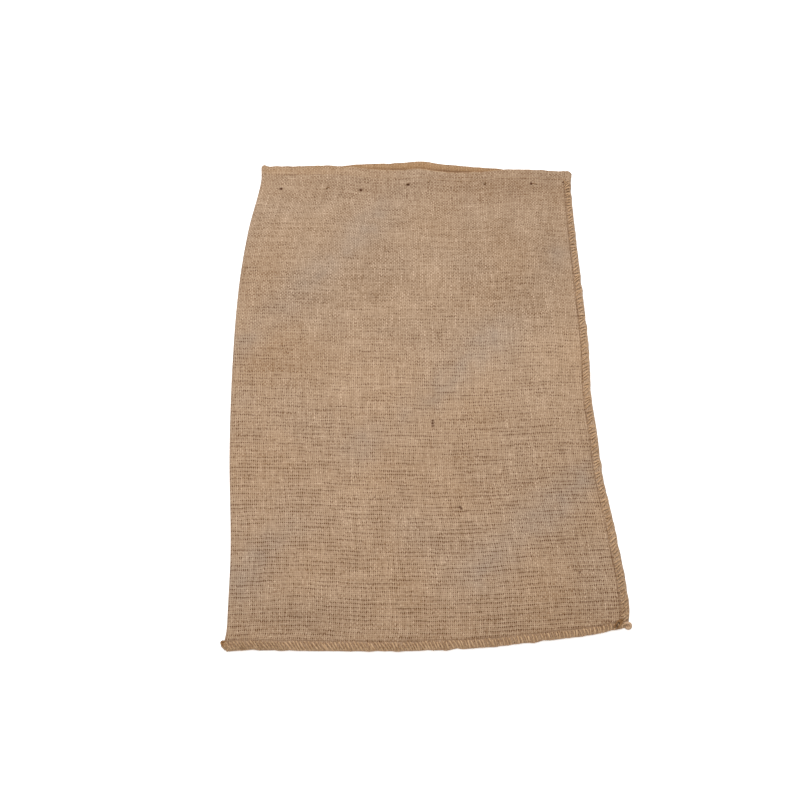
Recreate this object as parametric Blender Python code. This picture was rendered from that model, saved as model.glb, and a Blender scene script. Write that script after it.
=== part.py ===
"""A jute sack laid flat: one length of hessian folded along its left side, hemmed at the mouth and
sewn along its right side and its bottom, with the sewing twine knotted off at both bottom corners.

Metres, +Z up. +Y runs from the sewn bottom to the mouth, +X to the sewn side. The underside is at z = 0.
"""

import math
from collections import namedtuple

import bmesh
import bpy
from mathutils import Vector

# Cloth, hem and seams
CLOTH = 0.0012
HEM_DEPTH = 0.035
HEM_CLOTH = 0.0024
SEAM_BAND = 0.012
SEAM_HEIGHT = 0.0046
SEAM_ROUND = 0.0022
FOLD_HEIGHT = 0.0100
FOLD_ROUND = 0.0060
BODY_HEIGHT = 0.0122

# How far from a seam or from the fold the upper layer takes to reach its full height
SEAM_RISE = 0.060
FOLD_RISE = 0.090
POCKET_RISE = 0.010
POCKET_LEAST = 0.0004

# The mouth, where the upper hem stands open and draws back from the lower one
MOUTH_LIFT = 0.0040
MOUTH_PRESS = 0.15
MOUTH_REACH = 0.110
MOUTH_STEP = 0.0280
STEP_REACH = 0.550
MOUTH_MIDDLE = 0.51
MOUTH_HALF = 0.37

# Nominal sizes of the laid sack, which turn distances into shares of its width and length
WIDTH = 0.497
LENGTH = 0.700

# Outline of the laid sack: its four sides between the corners, whose end points they share
SidePoint = namedtuple("SidePoint", "across along")
FOLDED_SIDE = (
    SidePoint(-0.2405, -0.3640),
    SidePoint(-0.2422, -0.3300),
    SidePoint(-0.2455, -0.2400),
    SidePoint(-0.2555, -0.1100),
    SidePoint(-0.2603, 0.0200),
    SidePoint(-0.2600, 0.1400),
    SidePoint(-0.2530, 0.2350),
    SidePoint(-0.2414, 0.3000),
    SidePoint(-0.2378, 0.3270),
    SidePoint(-0.2376, 0.3508),
)
SEWN_SIDE = (
    SidePoint(0.2515, -0.3385),
    SidePoint(0.2575, -0.3295),
    SidePoint(0.2590, -0.3000),
    SidePoint(0.2500, -0.2080),
    SidePoint(0.2405, -0.1430),
    SidePoint(0.2372, -0.0750),
    SidePoint(0.2338, -0.0250),
    SidePoint(0.2358, 0.0450),
    SidePoint(0.2335, 0.1600),
    SidePoint(0.2307, 0.2560),
    SidePoint(0.2311, 0.3200),
    SidePoint(0.2332, 0.3385),
)
SEWN_BOTTOM = (
    SidePoint(-0.2405, -0.3640),
    SidePoint(-0.1150, -0.3655),
    SidePoint(-0.0200, -0.3655),
    SidePoint(0.0710, -0.3617),
    SidePoint(0.1460, -0.3543),
    SidePoint(0.2150, -0.3452),
    SidePoint(0.2515, -0.3385),
)
LOWER_HEM = (
    SidePoint(-0.2376, 0.3508),
    SidePoint(-0.1880, 0.3491),
    SidePoint(-0.1350, 0.3514),
    SidePoint(-0.0890, 0.3572),
    SidePoint(-0.0276, 0.3598),
    SidePoint(0.0040, 0.3634),
    SidePoint(0.0337, 0.3582),
    SidePoint(0.0949, 0.3525),
    SidePoint(0.1240, 0.3500),
    SidePoint(0.1557, 0.3436),
    SidePoint(0.1860, 0.3420),
    SidePoint(0.2165, 0.3424),
    SidePoint(0.2332, 0.3385),
)

# Soft ridges (rise over 0) and troughs of the upper layer: centre, half length along the fold,
# half width across it, and the turn of its run from the X axis in degrees
SoftFold = namedtuple("SoftFold", "across along half_length half_width turn rise")
SOFT_FOLDS = (
    SoftFold(0.150, 0.318, 0.085, 0.016, -4.0, -0.0011),
    SoftFold(-0.205, 0.018, 0.070, 0.016, 0.0, -0.0012),
    SoftFold(-0.115, 0.105, 0.090, 0.018, -6.0, -0.0009),
    SoftFold(-0.030, 0.190, 0.150, 0.070, 12.0, 0.0009),
    SoftFold(0.130, 0.060, 0.110, 0.060, 60.0, 0.0008),
    SoftFold(-0.060, -0.060, 0.140, 0.050, -18.0, 0.0009),
    SoftFold(0.090, -0.130, 0.120, 0.030, 8.0, -0.0010),
    SoftFold(-0.150, -0.200, 0.110, 0.045, 80.0, 0.0007),
    SoftFold(0.180, -0.230, 0.090, 0.028, 20.0, 0.0009),
    SoftFold(0.030, -0.270, 0.140, 0.030, -5.0, -0.0007),
)

# Grid lines: distances in from an edge, then even cells between them
FOLD_LINES = (0.0, 0.0006, 0.0018, 0.0036, 0.0060)
SEAM_LINES = (0.0, 0.0004, 0.0012, 0.0022, 0.0120)
POCKET_FOLD_LINES = (0.0, 0.0005, 0.0014, 0.0028, 0.0045)
POCKET_SEAM_LINES = (0.0, 0.0008, 0.0025, 0.0055, 0.0100)
HEM_LINES = (0.0, 0.0345, 0.0375)
CELLS_ACROSS = 26
CELLS_ALONG = 32

# Sewing twine where it is knotted off
GAP = 0.0003
TWINE_RADIUS = 0.0012
TWINE_SIDES = 10
KNOT_SIZE = Vector((0.0088, 0.0135, 0.0074))
KNOT_MIDDLE_SHARE = 0.006
KNOT_TOUCH_SHARE = 0.010
KNOT_POINTS = 48
CURL_RADIUS = 0.0030
CURL_AT = (0.2576, -0.3369)
CURL_LEAN = math.radians(22.0)
CURL_FACING = math.radians(35.0)
CURL_STEPS = 28

HESSIAN = ("jute_hessian", (0.434, 0.292, 0.174), 0.92)
SEWING_TWINE = ("jute_sewing_twine", (0.508, 0.342, 0.191), 0.88)


def smooth_share(distance, reach):
    """0 at an edge, 1 from reach inwards, with no kink at either end."""
    share = min(max(distance / reach, 0.0), 1.0)
    return share * share * (3.0 - 2.0 * share)


def round_share(distance, radius):
    """Quarter-round profile: 0 at an edge, 1 from radius inwards."""
    inwards = min(max(distance / radius, 0.0), 1.0)
    return math.sqrt(1.0 - (1.0 - inwards) ** 2)


def open_share(u):
    """How far the mouth stands open at a share of its width: 1 in the middle, 0 towards the sides."""
    return max(0.0, 1.0 - ((u - MOUTH_MIDDLE) / MOUTH_HALF) ** 2) ** 2


def along_side(points, share):
    """Point at a share of a side's length, on a smooth curve through the side's points."""
    spots = [Vector((point.across, point.along)) for point in points]
    reach = [0.0]
    for start, end in zip(spots, spots[1:]):
        reach.append(reach[-1] + (end - start).length)
    at = share * reach[-1]
    piece = max(index for index in range(len(spots) - 1) if reach[index] <= at + 1e-9)
    slopes = []
    for index in range(len(spots)):
        before = max(index - 1, 0)
        after = min(index + 1, len(spots) - 1)
        slopes.append((spots[after] - spots[before]) / (reach[after] - reach[before]))
    span = reach[piece + 1] - reach[piece]
    t = (at - reach[piece]) / span
    start = spots[piece] * (2 * t**3 - 3 * t**2 + 1) + slopes[piece] * span * (t**3 - 2 * t**2 + t)
    end = spots[piece + 1] * (3 * t**2 - 2 * t**3) + slopes[piece + 1] * span * (t**3 - t**2)
    return start + end


def on_plan(u, v, upper):
    """Place on the floor plan: a Coons patch between the four sides, drawn back at the upper hem."""
    bottom = along_side(SEWN_BOTTOM, u)
    mouth = along_side(LOWER_HEM, u)
    left = along_side(FOLDED_SIDE, v)
    right = along_side(SEWN_SIDE, v)
    low = along_side(SEWN_BOTTOM, 0.0) * (1 - u) + along_side(SEWN_BOTTOM, 1.0) * u
    high = along_side(LOWER_HEM, 0.0) * (1 - u) + along_side(LOWER_HEM, 1.0) * u
    spot = bottom * (1 - v) + mouth * v + left * (1 - u) + right * u - low * (1 - v) - high * v
    if upper:
        spot.y -= MOUTH_STEP * open_share(u) * smooth_share(v * LENGTH - LENGTH + STEP_REACH, STEP_REACH)
    return spot


def soft_rise(spot):
    """Height that the soft ridges and troughs add at a place on the plan."""
    total = 0.0
    for fold in SOFT_FOLDS:
        turn = math.radians(fold.turn)
        offset = spot - Vector((fold.across, fold.along))
        run = (offset.x * math.cos(turn) + offset.y * math.sin(turn)) / fold.half_length
        side = (offset.y * math.cos(turn) - offset.x * math.sin(turn)) / fold.half_width
        total += fold.rise * math.exp(-(run * run) - side * side)
    return total


def full_height(u, v):
    """Top of the upper layer, before the edges are rounded."""
    from_fold = smooth_share(u * WIDTH, FOLD_RISE)
    from_side = smooth_share((1 - u) * WIDTH - SEAM_BAND, SEAM_RISE)
    from_bottom = smooth_share(v * LENGTH - SEAM_BAND, SEAM_RISE)
    clear = from_side * from_bottom
    body = FOLD_HEIGHT + (BODY_HEIGHT - FOLD_HEIGHT) * from_fold
    body += soft_rise(on_plan(u, v, False)) * from_fold
    near_mouth = smooth_share(v * LENGTH - LENGTH + MOUTH_REACH, MOUTH_REACH)
    clear *= 1 - MOUTH_PRESS * (1 - open_share(u)) * near_mouth
    return SEAM_HEIGHT + (body - SEAM_HEIGHT) * clear + MOUTH_LIFT * open_share(u) * near_mouth


def cloth_here(v):
    """Thickness of one layer: the hem is turned in, so it is thicker."""
    turned = smooth_share(v * LENGTH - LENGTH + HEM_DEPTH + CLOTH, 2 * CLOTH)
    return CLOTH + (HEM_CLOTH - CLOTH) * turned


def outer_place(u, v, upper):
    """Point on the outside of the sack."""
    spot = on_plan(u, v, upper)
    middle = full_height(u, v) / 2
    rounding = round_share(u * WIDTH, FOLD_ROUND) * round_share((1 - u) * WIDTH, SEAM_ROUND)
    rounding *= round_share(v * LENGTH, SEAM_ROUND)
    return Vector((spot.x, spot.y, middle + middle * rounding * (1 if upper else -1)))


def pocket_place(u, v, upper):
    """Point on the inside: u and v are shares of the whole sack, not of the pocket."""
    spot = on_plan(u, v, upper)
    middle = full_height(u, v) / 2
    rounding = round_share(u * WIDTH - CLOTH, FOLD_ROUND - CLOTH)
    rounding *= round_share((1 - u) * WIDTH - SEAM_BAND, POCKET_RISE)
    rounding *= round_share(v * LENGTH - SEAM_BAND, POCKET_RISE)
    half = max(middle - cloth_here(v), POCKET_LEAST)
    return Vector((spot.x, spot.y, middle + half * rounding * (1 if upper else -1)))


def grid_lines(start, first_lines, end, last_lines, cells):
    """Positions from start to end: the lines near each edge, and even cells between them."""
    low = [start + line for line in first_lines]
    high = [end - line for line in reversed(last_lines)]
    step = (high[0] - low[-1]) / cells
    return low + [low[-1] + step * count for count in range(1, cells)] + high


def add_layer(bm, across, along, place, upper):
    """Lay one flat grid out as a layer of the sack."""
    made = bmesh.ops.create_grid(bm, x_segments=len(across) - 1, y_segments=len(along) - 1, size=1.0)
    for index, vert in enumerate(made["verts"]):
        row, column = divmod(index, len(across))
        vert.co = place(across[column] / WIDTH, along[row] / LENGTH, upper)


def dissolve_level(bm, level):
    """Make the flat ground at one height a single face."""
    edges = [edge for edge in bm.edges if all(abs(vert.co.z - level) < 1e-7 for vert in edge.verts)]
    verts = list({vert for edge in edges for vert in edge.verts})
    bmesh.ops.dissolve_limit(bm, angle_limit=math.radians(0.01), verts=verts, edges=edges)


def build_sack(finish):
    """The whole sack as one closed shell: outside, pocket, and the hem's edge between them."""
    bm = bmesh.new()
    pocket_right = WIDTH - SEAM_BAND
    outer_across = grid_lines(0.0, FOLD_LINES, WIDTH, SEAM_LINES, CELLS_ACROSS)
    outer_along = grid_lines(0.0, SEAM_LINES, LENGTH, HEM_LINES, CELLS_ALONG)
    pocket_across = grid_lines(CLOTH, POCKET_FOLD_LINES, pocket_right, POCKET_SEAM_LINES, CELLS_ACROSS)
    pocket_along = grid_lines(SEAM_BAND, POCKET_SEAM_LINES, LENGTH, HEM_LINES, CELLS_ALONG)
    for upper in (True, False):
        add_layer(bm, outer_across, outer_along, outer_place, upper)
        add_layer(bm, pocket_across, pocket_along, pocket_place, upper)
    bmesh.ops.remove_doubles(bm, verts=bm.verts[:], dist=1e-6)
    rim = [edge for edge in bm.edges if edge.is_boundary]
    bmesh.ops.bridge_loops(bm, edges=rim)
    bmesh.ops.recalc_face_normals(bm, faces=bm.faces[:])
    for level in (0.0, CLOTH, HEM_CLOTH):
        dissolve_level(bm, level)
    return finish_object("sack_cloth", bm, finish)


def build_knot(finish):
    """Overhand knot of twine outside the folded corner: a closed trefoil tube."""
    curve = bpy.data.curves.new("twine_knot_left", "CURVE")
    curve.dimensions = "3D"
    curve.bevel_depth = TWINE_RADIUS
    curve.bevel_resolution = 3
    spline = curve.splines.new("POLY")
    spline.points.add(KNOT_POINTS - 1)
    spline.use_cyclic_u = True
    reach = KNOT_SIZE / 2 - Vector((1, 1, 1)) * TWINE_RADIUS
    for count, point in enumerate(spline.points):
        turn = 2 * math.pi * count / KNOT_POINTS
        x = (math.sin(turn) + 2 * math.sin(2 * turn)) / 2.75 * reach.x
        y = (math.cos(turn) - 2 * math.cos(2 * turn) + 0.5) / 2.6 * reach.y
        point.co = (x, y, -math.sin(3 * turn) * reach.z, 1.0)
    beside = along_side(FOLDED_SIDE, KNOT_MIDDLE_SHARE)
    edge = along_side(FOLDED_SIDE, KNOT_TOUCH_SHARE).x
    knot = bpy.data.objects.new(curve.name, curve)
    knot.location = (edge - GAP - KNOT_SIZE.x / 2, beside.y, KNOT_SIZE.z / 2)
    curve.materials.append(finish)
    return knot


def build_curl(finish):
    """Small closed curl of twine at the sewn corner, leaning on its outer side."""
    bpy.ops.mesh.primitive_torus_add(
        major_radius=CURL_RADIUS,
        minor_radius=TWINE_RADIUS,
        major_segments=CURL_STEPS,
        minor_segments=TWINE_SIDES,
    )
    curl = bpy.context.object
    curl.name = "twine_curl_right"
    curl.data.name = curl.name
    curl.data.materials.append(finish)
    curl.data.shade_smooth()
    lowest = CURL_RADIUS * math.sin(CURL_LEAN) + TWINE_RADIUS
    curl.rotation_euler = (CURL_LEAN, 0.0, CURL_FACING)
    curl.location = (CURL_AT[0], CURL_AT[1], lowest)
    return curl


def finish_object(name, bm, finish):
    """Mesh object from a bmesh, with its material and smooth shading."""
    mesh = bpy.data.meshes.new(name)
    bm.to_mesh(mesh)
    bm.free()
    mesh.materials.append(finish)
    mesh.shade_smooth()
    mesh.set_sharp_from_angle(angle=math.radians(50))
    return bpy.data.objects.new(name, mesh)


def finish_of(name, colour, roughness):
    material = bpy.data.materials.new(name)
    material.use_nodes = True
    shader = material.node_tree.nodes["Principled BSDF"]
    shader.inputs["Base Color"].default_value = (*colour, 1.0)
    shader.inputs["Roughness"].default_value = roughness
    shader.inputs["Metallic"].default_value = 0.0
    return material


def stand_at_origin(carrier, pieces):
    """Move everything so that the middle of its footprint is the origin."""
    bpy.context.view_layer.update()
    graph = bpy.context.evaluated_depsgraph_get()
    spots = []
    for piece in pieces:
        solid = piece.evaluated_get(graph)
        spots += [solid.matrix_world @ vert.co for vert in solid.to_mesh().vertices]
        solid.to_mesh_clear()
    low = Vector([min(spot[axis] for spot in spots) for axis in range(2)])
    high = Vector([max(spot[axis] for spot in spots) for axis in range(2)])
    carrier.location.xy = -(low + high) / 2


def main():
    for old in list(bpy.data.objects):
        bpy.data.objects.remove(old)
    parts = bpy.data.collections.new("jute_sack")
    bpy.context.scene.collection.children.link(parts)
    hessian = finish_of(*HESSIAN)
    twine = finish_of(*SEWING_TWINE)
    carrier = bpy.data.objects.new("jute_sack", None)
    parts.objects.link(carrier)
    pieces = (build_sack(hessian), build_knot(twine), build_curl(twine))
    for piece in pieces:
        for holder in piece.users_collection:
            holder.objects.unlink(piece)
        parts.objects.link(piece)
        piece.parent = carrier
    stand_at_origin(carrier, pieces)


main()
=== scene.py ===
# %% [markdown]
# # A jute sack laid flat
#
# An empty sack for potatoes or grain: one length of hessian, folded along its left side, hemmed at the
# mouth, and sewn up along its right side and its bottom with jute twine. It lies on a pale table.
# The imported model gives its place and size. This lesson gives it the looks of the real cloth.

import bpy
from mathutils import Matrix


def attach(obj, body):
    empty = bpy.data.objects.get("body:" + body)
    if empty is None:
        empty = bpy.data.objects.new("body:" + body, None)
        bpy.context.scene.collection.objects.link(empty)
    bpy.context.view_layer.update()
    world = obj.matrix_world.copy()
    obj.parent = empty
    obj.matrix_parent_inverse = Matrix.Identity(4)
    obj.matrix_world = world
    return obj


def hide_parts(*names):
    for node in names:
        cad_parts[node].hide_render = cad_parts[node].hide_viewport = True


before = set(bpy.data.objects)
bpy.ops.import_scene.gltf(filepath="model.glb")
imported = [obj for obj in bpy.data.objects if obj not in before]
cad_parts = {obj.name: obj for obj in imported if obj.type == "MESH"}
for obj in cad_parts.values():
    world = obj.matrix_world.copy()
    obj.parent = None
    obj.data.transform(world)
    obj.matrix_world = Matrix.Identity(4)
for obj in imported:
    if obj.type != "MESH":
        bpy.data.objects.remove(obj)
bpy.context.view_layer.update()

# %% Python's own helpers
import functools
import math
import random
from collections import namedtuple

import bmesh
import bpy
from mathutils import Vector, noise

dice = random.Random(7)

# %% [markdown]
# ## The outline of the laid sack
#
# A sack that was filled and emptied many times is no rectangle. Its sides bulge, its sewn corner
# swings out, and its mouth sags open. Four smooth curves carry that outline. Any point of a layer is
# then a share across and a share along, between those four curves. Such a patch is easier to keep
# soft and even than thousands of hand-placed points.

# %% Four sides of the outline, in metres
# what moves the outline to the middle of the frame
SHIFT = Vector((-0.000379, 0.001530))
WIDTH = 0.497
LENGTH = 0.700
FOLDED_SIDE = (
    (-0.2411, -0.3660), (-0.2444, -0.3560), (-0.2432, -0.3440), (-0.2427, -0.3300), (-0.2447, -0.2400),
    (-0.2552, -0.1100), (-0.2603, 0.0200), (-0.2597, 0.1400), (-0.2521, 0.2350), (-0.2412, 0.3000),
    (-0.2380, 0.3270), (-0.2392, 0.3494),
)
SEWN_SIDE = (
    (0.2515, -0.3385), (0.2577, -0.3295), (0.2598, -0.3000), (0.2503, -0.2080), (0.2415, -0.1430),
    (0.2382, -0.0750), (0.2351, -0.0250), (0.2374, 0.0450), (0.2345, 0.1600), (0.2317, 0.2560),
    (0.2316, 0.3200), (0.2344, 0.3385),
)
SEWN_BOTTOM = (
    (-0.2411, -0.3660), (-0.2377, -0.3669), (-0.2300, -0.3661), (-0.2185, -0.3653), (-0.1150, -0.3664),
    (-0.0200, -0.3665), (0.0710, -0.3626), (0.1460, -0.3549), (0.2150, -0.3461), (0.2515, -0.3385),
)
LOWER_HEM = (
    (-0.2392, 0.3494), (-0.2335, 0.3510), (-0.2275, 0.3488), (-0.1880, 0.3481), (-0.1480, 0.3484),
    (-0.1200, 0.3532), (-0.0890, 0.3572), (-0.0276, 0.3598), (0.0040, 0.3628), (0.0337, 0.3580),
    (0.0949, 0.3515), (0.1240, 0.3489), (0.1557, 0.3427), (0.1860, 0.3415), (0.2060, 0.3424),
    (0.2190, 0.3434), (0.2280, 0.3424), (0.2344, 0.3385),
)


def hermite(start, climb, end, fall, t):
    """Point at t on a smooth curve from start to end that leaves with climb and arrives with fall."""
    return (
        start * (2 * t**3 - 3 * t**2 + 1) + climb * (t**3 - 2 * t**2 + t)
        + end * (3 * t**2 - 2 * t**3) + fall * (t**3 - t**2)
    )


@functools.lru_cache(maxsize=None)
def side_curve(points):
    """The points of a side as vectors, with their distance from its start and the slope through each."""
    spots = [Vector(point) for point in points]
    reach = [0.0]
    for start, end in zip(spots, spots[1:]):
        reach.append(reach[-1] + (end - start).length)
    slopes = []
    for index in range(len(spots)):
        before, after = max(index - 1, 0), min(index + 1, len(spots) - 1)
        slopes.append((spots[after] - spots[before]) / (reach[after] - reach[before]))
    return spots, reach, slopes


@functools.lru_cache(maxsize=None)
def along_side(points, share):
    """Point at a share of a side's length, on a smooth curve through the side's points."""
    spots, reach, slopes = side_curve(points)
    at = share * reach[-1]
    piece = max(index for index in range(len(spots) - 1) if reach[index] <= at + 1e-9)
    span = reach[piece + 1] - reach[piece]
    t = (at - reach[piece]) / span
    return hermite(spots[piece], slopes[piece] * span, spots[piece + 1], slopes[piece + 1] * span, t)


print("bottom left corner", along_side(FOLDED_SIDE, 0.0), "mouth right corner", along_side(SEWN_SIDE, 1.0))

# %% [markdown]
# ## How high the cloth stands
#
# Hessian is springy, so an empty sack never lies dead flat. Its fold and its seams hold the two
# layers apart, the body loosens into shallow ridges, and the mouth gapes. The heights come from a few
# smooth functions of the distance from each edge, with soft Gaussian ridges added to them. The mouth
# edge and both sewn edges are never straight either, so short uneven waves move them a little.

# %% Heights of the layers, in metres
CLOTH = 0.0012
HEM_DEPTH = 0.035
SEAM_BAND = 0.012
SEAM_HEIGHT = 0.0046
SEAM_ROUND = 0.0030
FOLD_HEIGHT = 0.0100
FOLD_ROUND = 0.0060
BODY_HEIGHT = 0.0122
SEAM_RISE = 0.060
FOLD_RISE = 0.090
MOUTH_LIFT = 0.0040
MOUTH_PRESS = 0.15
MOUTH_REACH = 0.110
MOUTH_STEP = 0.0238
STEP_REACH = 0.550
MOUTH_MIDDLE = 0.52
MOUTH_HALF = 0.34
RIM_WAVE, RIM_LENGTH, RIM_REACH = 0.0018, 0.013, 0.014
SEAM_WAVE, SEAM_LENGTH, SEAM_REACH = 0.0016, 0.012, 0.020
# shares of a side near its ends where those waves die away
CORNER_SHARE, MOUTH_CORNER_SHARE = 0.04, 0.06

# across, along, half length, half width, turn of its run in degrees, rise
SoftFold = namedtuple("SoftFold", "across along half_length half_width turn rise")
SOFT_FOLDS = [SoftFold(*row) for row in (
    (0.150, 0.318, 0.085, 0.016, -4.0, -0.0011),
    (-0.205, 0.018, 0.070, 0.016, 0.0, -0.0012),
    (-0.115, 0.105, 0.090, 0.018, -6.0, -0.0009),
    (-0.030, 0.190, 0.150, 0.070, 12.0, 0.0009),
    (0.130, 0.060, 0.110, 0.060, 60.0, 0.0008),
    (-0.060, -0.060, 0.140, 0.050, -18.0, 0.0009),
    (0.090, -0.130, 0.120, 0.030, 8.0, -0.0010),
    (-0.150, -0.200, 0.110, 0.045, 80.0, 0.0007),
    (0.180, -0.230, 0.090, 0.028, 20.0, 0.0009),
    (0.030, -0.270, 0.140, 0.030, -5.0, -0.0007),
)]


def smooth_share(distance, reach):
    """0 at an edge, 1 from reach inwards, with no kink at either end."""
    share = min(max(distance / reach, 0.0), 1.0)
    return share * share * (3.0 - 2.0 * share)


def round_share(distance, radius):
    """Quarter-round profile: 0 at an edge, 1 from radius inwards."""
    inwards = min(max(distance / radius, 0.0), 1.0)
    return math.sqrt(1.0 - (1.0 - inwards) ** 2)


def open_share(u):
    """How far the mouth stands open at a share of its width: 1 in the middle, 0 towards the sides."""
    return max(0.0, 1.0 - abs((u - MOUTH_MIDDLE) / MOUTH_HALF) ** 3) ** 2


def rim_wave(x, upper):
    """Short uneven waves of the mouth edge, different for each layer."""
    return RIM_WAVE * noise.noise(Vector((x / RIM_LENGTH, 0.0, 21.0 if upper else 33.0)))


def on_plan(u, v, upper):
    """Place on the floor plan: a patch between the four sides, drawn back at the upper hem."""
    bottom, mouth = along_side(SEWN_BOTTOM, u), along_side(LOWER_HEM, u)
    left, right = along_side(FOLDED_SIDE, v), along_side(SEWN_SIDE, v)
    low = along_side(SEWN_BOTTOM, 0.0) * (1 - u) + along_side(SEWN_BOTTOM, 1.0) * u
    high = along_side(LOWER_HEM, 0.0) * (1 - u) + along_side(LOWER_HEM, 1.0) * u
    spot = bottom * (1 - v) + mouth * v + left * (1 - u) + right * u - low * (1 - v) - high * v
    if upper:
        spot.y -= MOUTH_STEP * open_share(u) * smooth_share(v * LENGTH - LENGTH + STEP_REACH, STEP_REACH)
    clear = smooth_share(u, CORNER_SHARE) * smooth_share(1 - u, CORNER_SHARE)
    spot.y += rim_wave(spot.x, upper) * clear * smooth_share(v * LENGTH - LENGTH + RIM_REACH, RIM_REACH)
    at_bottom = (1 - smooth_share(v * LENGTH, SEAM_REACH)) * clear
    at_side = smooth_share((u - 1) * WIDTH + SEAM_REACH, SEAM_REACH)
    at_side = at_side * smooth_share(v, CORNER_SHARE) * smooth_share(1 - v, MOUTH_CORNER_SHARE)
    spot.y += SEAM_WAVE * at_bottom * noise.noise(Vector((spot.x / SEAM_LENGTH, 0.0, 50.0)))
    spot.x += SEAM_WAVE * at_side * noise.noise(Vector((spot.y / SEAM_LENGTH, 0.0, 61.0)))
    return spot


def bell(spot, hill):
    """1 in the middle of a long soft hill, 0 far from it."""
    turn = math.radians(hill.turn)
    offset = spot - Vector((hill.across, hill.along))
    run = (offset.x * math.cos(turn) + offset.y * math.sin(turn)) / hill.half_length
    side = (offset.y * math.cos(turn) - offset.x * math.sin(turn)) / hill.half_width
    return math.exp(-run * run - side * side)


def full_height(u, v, spot):
    """Top of the upper layer, before the edges are rounded."""
    from_fold = smooth_share(u * WIDTH, FOLD_RISE)
    from_side = smooth_share((1 - u) * WIDTH - SEAM_BAND, SEAM_RISE)
    from_bottom = smooth_share(v * LENGTH - SEAM_BAND, SEAM_RISE)
    clear = from_side * from_bottom
    body = FOLD_HEIGHT + (BODY_HEIGHT - FOLD_HEIGHT) * from_fold
    body += sum(fold.rise * bell(spot, fold) for fold in SOFT_FOLDS) * from_fold
    near_mouth = smooth_share(v * LENGTH - LENGTH + MOUTH_REACH, MOUTH_REACH)
    clear *= 1 - MOUTH_PRESS * (1 - open_share(u)) * near_mouth
    return SEAM_HEIGHT + (body - SEAM_HEIGHT) * clear + MOUTH_LIFT * open_share(u) * near_mouth


middle_spot = on_plan(0.5, 0.5, False)
print("the middle of the sack stands", round(full_height(0.5, 0.5, middle_spot) * 1000, 1), "mm high")

# %% [markdown]
# ## One sheet, folded
#
# The real sack is a single cut of cloth. So its mesh is a single sheet too: one distance runs across
# the cloth, from the sewn edge of the back, round the fold, to the sewn edge of the front. The other
# runs from the bottom seam up to the mouth, turns over the edge, and comes back down inside as the
# hem. Two numbers say where any thread is, which later places the weave with no stretching.

# %% Where a place on the cloth lies
SEAM_CLOTH = 0.0008
SEAM_LIFT = 0.0013
SEAM_EXTRA = 0.0007
GROOVE_AT = 0.0118
GROOVE_DEEP = 0.0010
GROOVE_HALF = 0.0012
BAND_ROLL = 0.0006
HEM_STITCH = 0.0149
PLY_GAP = 0.0001
LAYER_GAP = 0.00015
EDGE_RUN = LENGTH - CLOTH
# rise of the turned hem, then depth and half width of its thread's line and of its turned edge
HEM_RISE, HEM_RISE_REACH = 0.0003, 0.003
HEM_LINE_DEEP, HEM_LINE_HALF = 0.00045, 0.0013
HEM_EDGE_DEEP, HEM_EDGE_HALF = 0.0004, 0.0022
# length and height of the ripples on the top, and of those underneath, which also clear the table
LONG_RIPPLE, SHORT_RIPPLE, UNDER_RIPPLE = (0.052, 0.0009), (0.021, 0.00045), (0.040, 0.0003)
UNDER_CLEAR = 0.0003
# how far in from a seam band, the body, the fold or an edge something fades in
BAND_START, BAND_FADE, BODY_FADE, FOLD_FADE, EDGE_FADE = 0.003, 0.010, 0.030, 0.020, 0.004


def near_line(distance, at, half):
    """1 on a line at a distance from an edge, 0 away from it."""
    return math.exp(-(((distance - at) / half) ** 2))


def cloth_thickness(across, run):
    """The stitches press the cloth of the seam bands thin."""
    inside = min(WIDTH - abs(across), run) - SEAM_BAND
    return SEAM_CLOTH + (CLOTH - SEAM_CLOTH) * smooth_share(inside, 0.006)


def ripple(x, y, length, height):
    """Low uneven waves all over the cloth."""
    return height * noise.noise(Vector((x / length, y / length * 1.4, 3.7)))


def layer_place(across, run):
    """Point on the outside of the sack: across is negative on the back, run is measured from the bottom."""
    upper = across >= 0
    u, v = abs(across) / WIDTH, run / LENGTH
    spot = on_plan(u, v, upper)
    from_side, from_bottom, from_mouth = WIDTH - abs(across), run, LENGTH - run
    past_band = min(from_side, from_bottom) - SEAM_BAND
    in_band = 1 - smooth_share(past_band + BAND_START, BAND_FADE)
    top = full_height(u, v, spot) + SEAM_EXTRA * in_band
    clear = smooth_share(past_band, BODY_FADE) * smooth_share(abs(across), FOLD_FADE)
    # the stitches press a groove beside each seam band, and the band between groove and edge is rolled
    for from_edge in (from_side, from_bottom):
        top -= GROOVE_DEEP * near_line(from_edge, GROOVE_AT, GROOVE_HALF)
        top += BAND_ROLL * near_line(from_edge, SEAM_BAND / 2, SEAM_BAND / 3)
    top += (ripple(spot.x, spot.y, *LONG_RIPPLE) + ripple(spot.x + 5, spot.y, *SHORT_RIPPLE)) * clear
    # the hem is thicker by its turned ply, and drawn in at its thread and at its turned edge
    top += HEM_RISE * smooth_share(HEM_DEPTH - from_mouth, HEM_RISE_REACH)
    top -= HEM_LINE_DEEP * near_line(from_mouth, HEM_STITCH, HEM_LINE_HALF)
    top -= HEM_EDGE_DEEP * near_line(from_mouth, HEM_DEPTH, HEM_EDGE_HALF)
    under = SEAM_LIFT * in_band + (UNDER_CLEAR + ripple(spot.x, spot.y + 9, *UNDER_RIPPLE)) * clear
    middle = (top + under) / 2
    rounding = round_share(abs(across), FOLD_ROUND) * round_share(from_side, SEAM_ROUND)
    rounding *= round_share(from_bottom, SEAM_ROUND)
    gap = LAYER_GAP * (1 - smooth_share(from_side, EDGE_FADE) * smooth_share(from_bottom, EDGE_FADE))
    gap *= smooth_share(abs(across), EDGE_FADE)
    if upper:
        level = middle + gap + (top - middle - gap) * rounding
    else:
        level = middle - gap - (middle - gap - under) * rounding
    return Vector((spot.x + SHIFT.x, spot.y + SHIFT.y, level))


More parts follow.
